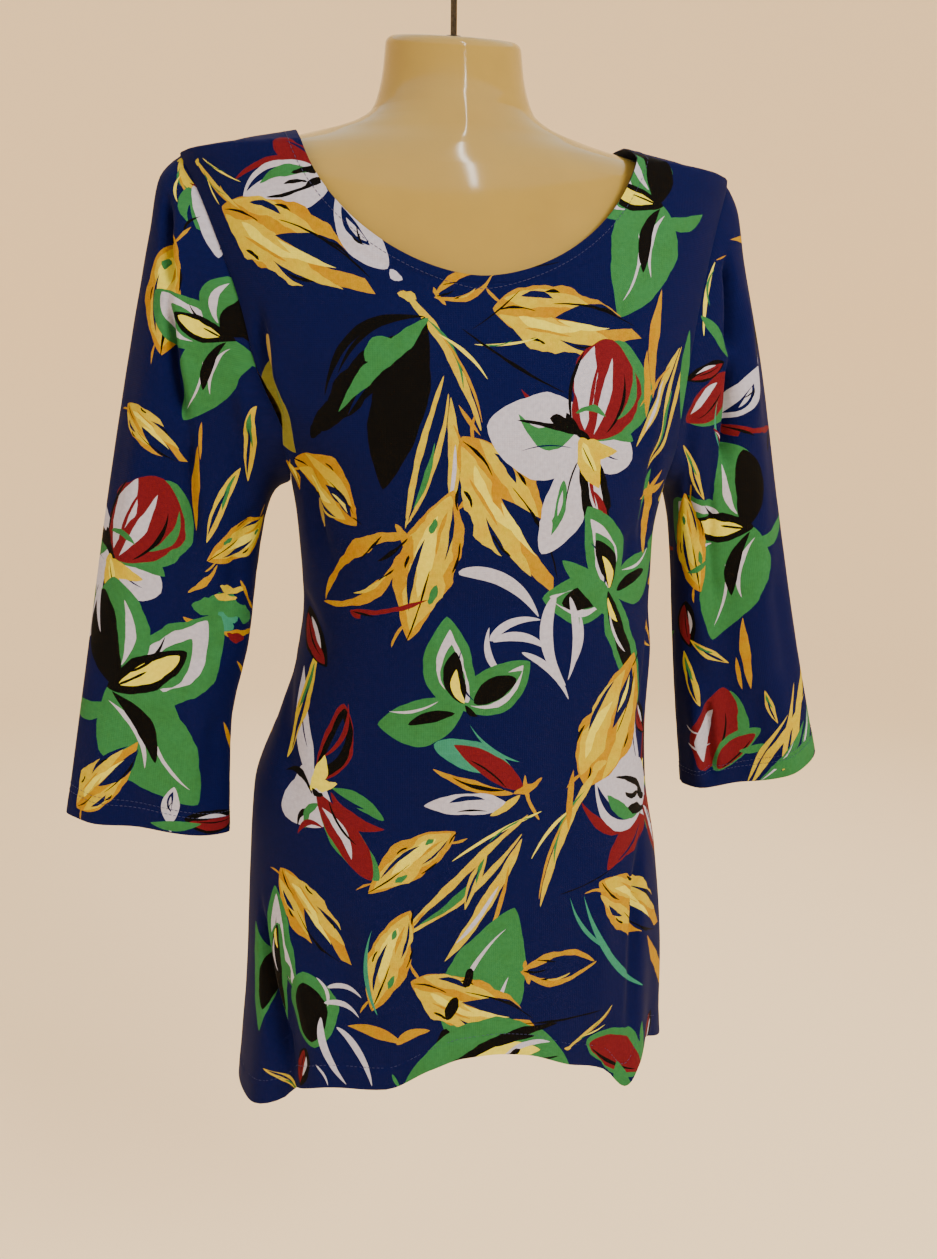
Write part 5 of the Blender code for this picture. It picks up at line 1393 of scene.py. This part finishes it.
def clothPoint(piece, grid, u, r):
    # base surface + normal * (folds + seam dip + creases + hem step)
    normal, here = steppedNormal(lambda a, b: basePoint(piece, a, b), piece, u, r)
    q, h = (gridRead(grid[k], u, r, pieces[piece]["rows"]) for k in ("q", "h"))
    lift = foldHeight(piece, u, r, here) + seamDip(piece, u, r)
    lift = lift + creaseHeight(piece, q, h) + hemStep(piece, r)
    return here + normal * lift[..., None]


def rimEdges(faces):
    # edges used by one face only, in that face's direction
    edges = faces[:, [0, 1, 1, 2, 2, 0]].reshape(-1, 2)
    keys = np.sort(edges, axis=1)
    _, first, counts = np.unique(keys[:, 0] * 10**7 + keys[:, 1], return_index=True, return_counts=True)
    return edges[first[counts == 1]]


def triangleMesh(name, points, faces):
    # a smooth mesh straight from arrays of points and triangles
    mesh = bpy.data.meshes.new(name)
    mesh.vertices.add(len(points))
    mesh.vertices.foreach_set("co", points.ravel())
    mesh.loops.add(faces.size)
    mesh.loops.foreach_set("vertex_index", faces.ravel().astype(np.int32))
    mesh.polygons.add(len(faces))
    mesh.polygons.foreach_set("loop_start", np.arange(0, faces.size, 3, dtype=np.int32))
    mesh.update(calc_edges=True)
    mesh.shade_smooth()
    return mesh


def dressShell(piece, material):
    # outer skin, the same skin a wall's thickness inside it, and a rim between them
    grid = flatGrid(piece)
    outlines = pieceOutlines(piece, grid)
    spots, faces = printedMesh(piece, outlines, creasePoints(piece, grid))
    centre = spots[faces].mean(1)
    names = list(inks)
    ink = np.zeros(len(faces), int)
    for name, outline in outlines:
        ink[insideOutline(outline, centre)] = names.index(name)
    u, r = np.clip(spots[:, 0] / pieces[piece]["span"], -1, 1), spots[:, 1]
    normal, outer = steppedNormal(lambda a, b: clothPoint(piece, grid, a, b), piece, u, r)
    corner = outer[faces]
    facing = np.cross(corner[:, 1] - corner[:, 0], corner[:, 2] - corner[:, 0])
    if (np.sum(facing * normal[faces[:, 0]], -1) < 0).mean() > 0.5:
        faces = faces[:, ::-1]
    inner = outer - normal * bodyCut["wall"]
    count, rim = len(outer), rimEdges(faces)
    first = np.stack([rim[:, 1], rim[:, 0], rim[:, 0] + count], -1)
    second = np.stack([rim[:, 1], rim[:, 0] + count, rim[:, 1] + count], -1)
    every = np.concatenate([faces, faces[:, ::-1] + count, first, second])
    mesh = triangleMesh(piece + "Cloth", np.concatenate([outer, inner]) + clothPlace, every)
    # the inks' colours and how far each is washed; the rim is in the ground's colour
    table = np.array([linear(inks[name][0]) + [inks[name][1]] for name in names])
    colours = table[np.r_[ink, ink, np.zeros(2 * len(rim), int)]]
    inkColour = mesh.attributes.new("ink", "FLOAT_COLOR", "CORNER")
    inkColour.data.foreach_set("color", np.repeat(colours, 3, axis=0).ravel())
    inside = mesh.attributes.new("inside", "FLOAT", "POINT")
    inside.data.foreach_set("value", np.r_[np.zeros(count), np.ones(count)])
    flat = np.stack([gridRead(grid[k], u, r, pieces[piece]["rows"]) for k in ("q", "h")], -1)
    flat = np.concatenate([flat, flat])[every.ravel()]
    mesh.uv_layers.new(name="clothMap").uv.foreach_set("vector", flat.ravel())
    mesh.normals_split_custom_set_from_vertices(np.concatenate([normal, -normal]).tolist())
    print(piece, "cloth has", len(every), "triangles and", len(outlines), "brush shapes")
    return newObject(mesh, material)


# sizes in metres: watercolour blotches, unevenness of the dye, and the knit's wales and
# courses, which are drawn at twice their true spacing so that they show
jerseyLook = {
    "shader": {
        "Roughness": 0.78,
        "Specular IOR Level": 0.05,
        "Sheen Weight": 0.015,
        "Sheen Roughness": 0.5,
        "Sheen Tint": (0.72, 0.78, 1.0, 1.0),
    },
    "blot": 0.016,
    "blotTint": (0.95, 0.76, 0.40, 1.0),
    "blotMost": 0.75,
    "dye": 0.003,
    "dyeShades": (0.90, 1.06),
    "reverse": "#6d749a",
    "reverseShare": 0.6,
    "wale": 0.0016,
    "course": 0.0013,
    "knitDepth": 0.0003,
    "knitStrength": 0.16,
}


def jerseyMaterial():
    # cotton jersey, knitted and screen printed: matt with a faint bloom, its golds and greens
    # blotched like watercolour, paler on its reverse
    look = jerseyLook
    material, tree, shader = newMaterial("printedCottonJersey", look["shader"])
    ink = addNode(tree, "ShaderNodeAttribute", attribute_name="ink")
    inside = addNode(tree, "ShaderNodeAttribute", attribute_name="inside")
    onCloth = {"Vector": addNode(tree, "ShaderNodeUVMap", uv_map="clothMap").outputs[0]}
    # a Mix node's sockets: 0 its share, 6 and 7 its two colours, 2 its result
    mixed = {"data_type": "RGBA"}
    tinted = {"data_type": "RGBA", "blend_type": "MULTIPLY"}
    # blotches deepen the washed inks
    spots = {"Scale": 1 / look["blot"], "Detail": 3.0, "Roughness": 0.6}
    blots = addNode(tree, "ShaderNodeTexNoise", spots, onCloth)
    edges = {"From Min": 0.42, "From Max": 0.66, "To Min": 0.0, "To Max": look["blotMost"]}
    edge = addNode(tree, "ShaderNodeMapRange", edges, {"Value": blots.outputs[0]})
    shares = {0: edge.outputs[0], 1: ink.outputs["Alpha"]}
    amount = addNode(tree, "ShaderNodeMath", None, shares, operation="MULTIPLY")
    colour = ink.outputs["Color"]
    deep = addNode(tree, "ShaderNodeMix", {0: 1.0, 7: look["blotTint"]}, {6: colour}, **tinted)
    links = {0: amount.outputs[0], 6: colour, 7: deep.outputs[2]}
    washed = addNode(tree, "ShaderNodeMix", None, links, **mixed)
    # the dye takes unevenly
    fine = addNode(tree, "ShaderNodeTexNoise", {"Scale": 1 / look["dye"], "Detail": 2.0}, onCloth)
    pale, full = look["dyeShades"]
    shades = {"From Min": 0.3, "From Max": 0.7, "To Min": pale, "To Max": full}
    shade = addNode(tree, "ShaderNodeMapRange", shades, {"Value": fine.outputs[0]})
    links = {6: washed.outputs[2], 7: shade.outputs[0]}
    dyed = addNode(tree, "ShaderNodeMix", {0: 1.0}, links, **tinted).outputs[2]
    # the reverse shows the print weakly through a greyer ground
    ground = {0: look["reverseShare"], 7: (*linear(look["reverse"]), 1.0)}
    reverse = addNode(tree, "ShaderNodeMix", ground, {6: dyed}, **mixed)
    links = {0: inside.outputs["Fac"], 6: dyed, 7: reverse.outputs[2]}
    sides = addNode(tree, "ShaderNodeMix", None, links, **mixed)
    tree.links.new(sides.outputs[2], shader.inputs["Base Color"])
    # a wave texture turns 20 times its scale in radians a metre: scale = (pi / 10) / spacing
    wale = {"Scale": math.pi / 10 / look["wale"], "Distortion": 0.6, "Detail": 1.0}
    course = {"Scale": math.pi / 10 / look["course"], "Distortion": 0.8}
    wales = addNode(tree, "ShaderNodeTexWave", wale, onCloth)
    courses = addNode(tree, "ShaderNodeTexWave", course, onCloth, bands_direction="Y")
    waves = {0: wales.outputs["Fac"], 1: courses.outputs["Fac"]}
    knit = addNode(tree, "ShaderNodeMath", None, waves, operation="ADD")
    depth = {"Strength": look["knitStrength"], "Distance": look["knitDepth"]}
    bump = addNode(tree, "ShaderNodeBump", depth, {"Height": knit.outputs[0]})
    tree.links.new(bump.outputs[0], shader.inputs["Normal"])
    return material


jersey = jerseyMaterial()
garment = {piece: dressShell(piece, jersey) for piece in pieces}
for piece, thing in garment.items():
    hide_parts(pieces[piece]["node"])
    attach(thing, "root")
print("cloth is printed and hung")


# level sections of the form: height, half width, front, back, squareness, tilt
formSections = [
    (0.0785, 0.0475, 0.0440, 0.0475, 2.00, 0.27),
    (0.0610, 0.0495, 0.0465, 0.0485, 2.00, 0.17),
    (0.0430, 0.0540, 0.0495, 0.0495, 2.00, 0.07),
    (0.0340, 0.0590, 0.0520, 0.0500, 1.85, 0.02),
    (0.0250, 0.0750, 0.0545, 0.0505, 1.65, 0.00),
    (0.0150, 0.1130, 0.0570, 0.0520, 1.52, 0.00),
    (0.0098, 0.1350, 0.0590, 0.0535, 1.60, 0.00),
    (0.0037, 0.1590, 0.0620, 0.0560, 1.74, 0.00),
    (-0.0028, 0.1740, 0.0650, 0.0580, 1.90, 0.00),
    (-0.0100, 0.1790, 0.0680, 0.0600, 2.05, 0.00),
    (-0.0450, 0.1740, 0.0775, 0.0670, 2.15, 0.00),
    (-0.1000, 0.1600, 0.0905, 0.0755, 2.25, 0.00),
    (-0.1400, 0.1480, 0.1005, 0.0765, 2.30, 0.00),
    (-0.1870, 0.1260, 0.1085, 0.0730, 2.30, 0.00),
    (-0.2200, 0.1120, 0.1100, 0.0690, 2.30, 0.00),
    (-0.2620, 0.1065, 0.1020, 0.0640, 2.30, 0.00),
    (-0.3050, 0.1040, 0.0930, 0.0620, 2.30, 0.00),
    (-0.3500, 0.1100, 0.0900, 0.0650, 2.30, 0.00),
    (-0.4000, 0.1230, 0.0910, 0.0720, 2.25, 0.00),
    (-0.4520, 0.1400, 0.0930, 0.0790, 2.20, 0.00),
    (-0.5120, 0.1460, 0.0930, 0.0810, 2.20, 0.00),
    (-0.5800, 0.1440, 0.0890, 0.0780, 2.20, 0.00),
]
formFinish = {
    "sides": 128,
    "rows": 150,
    "capEdge": 0.006,
    "baseEdge": 0.012,
    "edgeTurns": (15, 30, 45, 60, 75, 90),
    "socket": 0.00255,
    "socketDepth": 0.012,
}
hookSizes = {
    "wire": 0.00225,
    "socketFloor": 0.0728,
    "stemTop": 0.110,
    "crookHeight": 0.1415,
    "crookRadius": 0.024,
    "crookFrom": -35,
    "crookTo": 205,
    "neckHandle": 0.010,
    "steps": {"stem": 12, "neck": 24, "crook": 110, "round": 24},
    "tip": ((0.0008, 0.93), (0.0015, 0.7), (0.0018, 0.4)),  # past the end, share of the wire
    "foot": 0.5,
}
nutSizes = {"radius": 0.0055, "height": 0.0022, "edge": 0.0005, "gap": 0.0003, "sides": 64}


def closedTube(name, rings, material):
    # rings of points joined into a closed skin with a fan at each end
    count, sides = rings.shape[:2]
    at = np.arange(count * sides).reshape(count, sides)
    ahead = np.roll(at, -1, axis=1)
    low, high = count * sides, count * sides + 1
    foot = np.stack([ahead[0], at[0], np.full(sides, low)], -1)
    top = np.stack([at[-1], ahead[-1], np.full(sides, high)], -1)
    points = np.concatenate([rings.reshape(-1, 3), rings[0].mean(0)[None], rings[-1].mean(0)[None]])
    faces = ringQuads(count, sides).tolist() + foot.tolist() + top.tolist()
    return newPiece(name, points + formPlace, faces, material, sharpAngle=50)


def formRing(half, front, back, power, height, tilt):
    # superellipse |x/half|^power + |y/depth|^power = 1 on a plane leaning by tilt
    turn = np.linspace(0, 2 * math.pi, formFinish["sides"], endpoint=False)
    side, fore = np.sin(turn), -np.cos(turn)
    sideways = np.sign(side) * np.abs(side) ** (2 / power)
    reach = np.abs(fore) ** (2 / power)
    x, y = half * sideways, np.where(fore < 0, -front, back) * reach
    return np.stack([x, y, height + tilt * y], -1)


def roundedEnd(section, z, edge, turns):
    # quarter round past a level section: it shrinks by edge * (1 - cos) and moves by edge * sin
    half, front, back, power, tilt = section
    for angle in np.radians(turns):
        cut = abs(edge) * (1 - math.cos(angle))
        yield formRing(half - cut, front - cut, back - cut, power, z + edge * math.sin(angle), tilt)


def buildForm(material):
    # level sections from base to neck between two rounded ends, with the hook's socket on top
    heights = [row[0] for row in formSections]
    stations = np.unique(np.r_[heights, np.linspace(min(heights), max(heights), formFinish["rows"])])
    columns = readTable(formSections, stations).T
    turns, hole = formFinish["edgeTurns"], formFinish["socket"]
    rings = list(roundedEnd(columns[0], stations[0], -formFinish["baseEdge"], turns[::-1]))
    for z, (half, front, back, power, tilt) in zip(stations, columns):
        rings.append(formRing(half, front, back, power, z, tilt))
    rings.extend(roundedEnd(columns[-1], stations[-1], formFinish["capEdge"], turns))
    top = stations[-1] + formFinish["capEdge"]
    rings.append(formRing(hole, hole, hole, 2.0, top, columns[-1][-1]))
    rings.append(formRing(hole, hole, hole, 2.0, top - formFinish["socketDepth"], 0.0))
    return closedTube("dressFormSkin", np.array(rings), material)


def buildHook(material):
    # straight stem, Bezier swan neck, round crook; the wire shrinks over its last short steps
    size, steps = hookSizes, hookSizes["steps"]
    stem = [(0.0, z) for z in np.linspace(size["socketFloor"], size["stemTop"], steps["stem"])]
    turns = np.radians(np.linspace(size["crookFrom"], size["crookTo"], steps["crook"]))
    crook = np.stack([np.cos(turns), np.sin(turns)], -1) * size["crookRadius"] + (0.0, size["crookHeight"])
    p0, p3 = np.array(stem[-1]), crook[0]
    p1 = p0 + (0.0, size["neckHandle"])
    p2 = p3 - size["neckHandle"] * np.array((-math.sin(turns[0]), math.cos(turns[0])))
    t = np.linspace(0, 1, steps["neck"])[1:-1, None]
    neck = (1 - t) ** 3 * p0 + 3 * (1 - t) ** 2 * t * p1 + 3 * (1 - t) * t * t * p2 + t**3 * p3
    path = np.concatenate([stem, neck, crook])
    along = unitVectors(np.gradient(path, axis=0))
    past, share = np.array(size["tip"]).T
    path = np.concatenate([path[:1], path, path[-1:] + along[-1:] * past[:, None]])
    along = np.concatenate([along[:1], along, np.repeat(along[-1:], len(past), axis=0)])
    radius = np.full(len(path), size["wire"])
    radius[-len(past) :] *= share
    radius[0] *= size["foot"]
    turn = np.linspace(0, 2 * math.pi, steps["round"], endpoint=False)
    out, over = np.cos(turn) * radius[:, None], np.sin(turn) * radius[:, None]
    rings = np.stack([path[:, :1] - along[:, 1:] * out, -over, path[:, 1:] + along[:, :1] * out], -1)
    return closedTube("wireHook", rings, material)


def buildNut(material):
    # a washer's profile turned round the wire, lying on the sloping top of the neck
    size, tilt, hole = nutSizes, formSections[0][-1], formFinish["socket"]
    low = formSections[0][0] + formFinish["capEdge"] + size["gap"]
    top, outer, edge = low + size["height"], size["radius"], size["edge"]
    shoulder = [(outer - edge, low), (outer, low + edge), (outer, top - edge), (outer - edge, top)]
    profile = [(hole, low), *shoulder, (hole, top)]
    turn = np.linspace(0, 2 * math.pi, size["sides"], endpoint=False)
    side, fore = np.sin(turn), -np.cos(turn)
    rings = np.array([np.stack([r * side, r * fore, z + tilt * r * fore], -1) for r, z in profile])
    faces = (ringQuads(len(profile) + 1, size["sides"]) % (len(profile) * size["sides"])).tolist()
    return newPiece("hookWasher", rings.reshape(-1, 3) + formPlace, faces, material, sharpAngle=35)


# sizes in metres: the colour's drift, the skin's waves and their height
finishes = {
    # moulded styrene gone a little yellow, glossy, with the mould's slow waves
    "glossyCreamPlastic": {
        "shader": {"Roughness": 0.09},
        "colours": ("#8f7a38", "#897436"),
        "drift": 0.070,
        "wave": 0.033,
        "bump": 0.25,
        "height": 0.0006,
    },
    # dull plating with fine drawing marks
    "platedSteelWire": {
        "shader": {"Roughness": 0.3, "Metallic": 1.0},
        "colours": ("#504f4d", "#3c3b3a"),
        "drift": 0.0024,
        "wave": 0.0007,
        "bump": 0.2,
        "height": 0.0001,
    },
    # spun thread, its plies a shade apart
    "polyesterThread": {
        "shader": {"Roughness": 0.55, "Specular IOR Level": 0.2},
        "colours": ("#34365c", "#2a2c50"),
        "drift": 0.0011,
        "wave": 0.0004,
        "bump": 0.5,
        "height": 0.0001,
    },
}


def unevenFinish(name):
    # a finish whose colour drifts between two near ones by noise, over a slightly wavy skin
    finish = finishes[name]
    material, tree, shader = newMaterial(name, finish["shader"])
    onPiece = {"Vector": addNode(tree, "ShaderNodeTexCoord").outputs["Object"]}
    spots = {"Scale": 1 / finish["drift"], "Detail": 3.0, "Roughness": 0.55}
    drift = addNode(tree, "ShaderNodeTexNoise", spots, onPiece)
    narrow = {"From Min": 0.35, "From Max": 0.65}
    share = addNode(tree, "ShaderNodeMapRange", narrow, {"Value": drift.outputs[0]})
    one, other = ((*linear(colour), 1) for colour in finish["colours"])
    links = {0: share.outputs[0]}
    colour = addNode(tree, "ShaderNodeMix", {6: one, 7: other}, links, data_type="RGBA")
    tree.links.new(colour.outputs[2], shader.inputs["Base Color"])
    waves = {"Scale": 1 / finish["wave"], "Detail": 1.0}
    wave = addNode(tree, "ShaderNodeTexNoise", waves, onPiece)
    depth = {"Strength": finish["bump"], "Distance": finish["height"]}
    bump = addNode(tree, "ShaderNodeBump", depth, {"Height": wave.outputs[0]})
    tree.links.new(bump.outputs[0], shader.inputs["Normal"])
    return material


plastic, steel = unevenFinish("glossyCreamPlastic"), unevenFinish("platedSteelWire")
form, hook, nut = buildForm(plastic), buildHook(steel), buildNut(steel)
for thing, node, slot in (
    (form, "dress_form", "cream_plastic"),
    (hook, "hook", "plated_wire"),
    (nut, "hook_nut", "plated_wire"),
):
    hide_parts(node)
    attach(thing, "root")
print("form, hook and washer are built")

sewing = {
    "pitch": 0.0033,
    "length": 0.0024,
    "radius": 0.00022,
    "sunk": 0.2,  # share of its radius that a stitch sinks into the cloth
    "sink": 0.00004,
    "belowNeck": 0.0085,
    "profile": ((-0.5, 0.0), (-0.40, 0.75), (0.0, 1.0), (0.40, 0.75), (0.5, 0.0)),
    "sides": 6,
    "samples": 1500,
    "neckStep": 0.003,
    "aheadStep": 0.002,
}
# rows of stitches: place up (or down) the piece, from u to u; "neck" follows the neckline
hemRows = [(-0.680, -0.995, 0.995), ("neck", -0.97, 0.97)]
cuffRows = [(0.461, -0.999, 0.999), (0.4555, -0.999, 0.999)]


def stitchLine(piece, grid, row, u):
    # r along a row of stitches: a plain row, or the same distance from the neckline all
    # along, edge - distance / (metres per unit of r)
    if row != "neck":
        return np.full_like(u, row)
    edge, short = np.full_like(u, pieces[piece]["rows"][1]), sewing["neckStep"]
    step = clothPoint(piece, grid, u, edge) - clothPoint(piece, grid, u, edge - short)
    return edge - sewing["belowNeck"] * short / np.linalg.norm(step, axis=-1)


def stitchMesh(piece, material):
    # a stitch is a six sided thread, pointed at both ends, lying along the row
    grid = flatGrid(piece)
    reach, wide = np.array(sewing["profile"]).T * ((sewing["length"],), (sewing["radius"],))
    rounds, sides = len(reach), sewing["sides"]
    turn = np.linspace(0, 2 * math.pi, sides, endpoint=False)
    points, faces, made = [], [], 0

    def surface(a, b):
        # the dressed cloth, creases and all
        return clothPoint(piece, grid, a, b)

    for row, start, end in hemRows if piece in panels else cuffRows:
        u = np.linspace(start, end, sewing["samples"])
        rows = stitchLine(piece, grid, row, u)
        line = surface(u, rows)
        run = np.r_[0, np.cumsum(np.linalg.norm(np.diff(line, axis=0), axis=1))]
        spots = np.arange(sewing["pitch"], run[-1] - sewing["pitch"], sewing["pitch"])
        at = np.interp(spots, run, u)
        normal, here = steppedNormal(surface, piece, at, np.interp(at, u, rows))
        near = at + sewing["aheadStep"] * np.where(at > 0, -1, 1)
        along = unitVectors(surface(near, np.interp(near, u, rows)) - here)
        side = unitVectors(np.cross(normal, along))
        middle = here + normal * (sewing["radius"] * (1 - sewing["sunk"]) - sewing["sink"])
        ring = (
            middle[:, None, None]
            + along[:, None, None] * reach[:, None, None]
            + side[:, None, None] * (wide[:, None] * np.cos(turn))[..., None]
            + normal[:, None, None] * (wide[:, None] * np.sin(turn))[..., None]
        )
        points.append(ring.reshape(-1, 3))
        first = made + rounds * sides * np.arange(len(spots))[:, None, None]
        faces.append((first + ringQuads(rounds, sides)).reshape(-1, 4))
        made += ring.size // 3
    place = np.concatenate(points) + clothPlace
    thing = newPiece(piece + "Stitches", place, np.concatenate(faces).tolist(), material)
    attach(thing, "root")
    return thing


thread = unevenFinish("polyesterThread")
stitches = {piece: stitchMesh(piece, thread) for piece in pieces}
print("stitches are sewn")
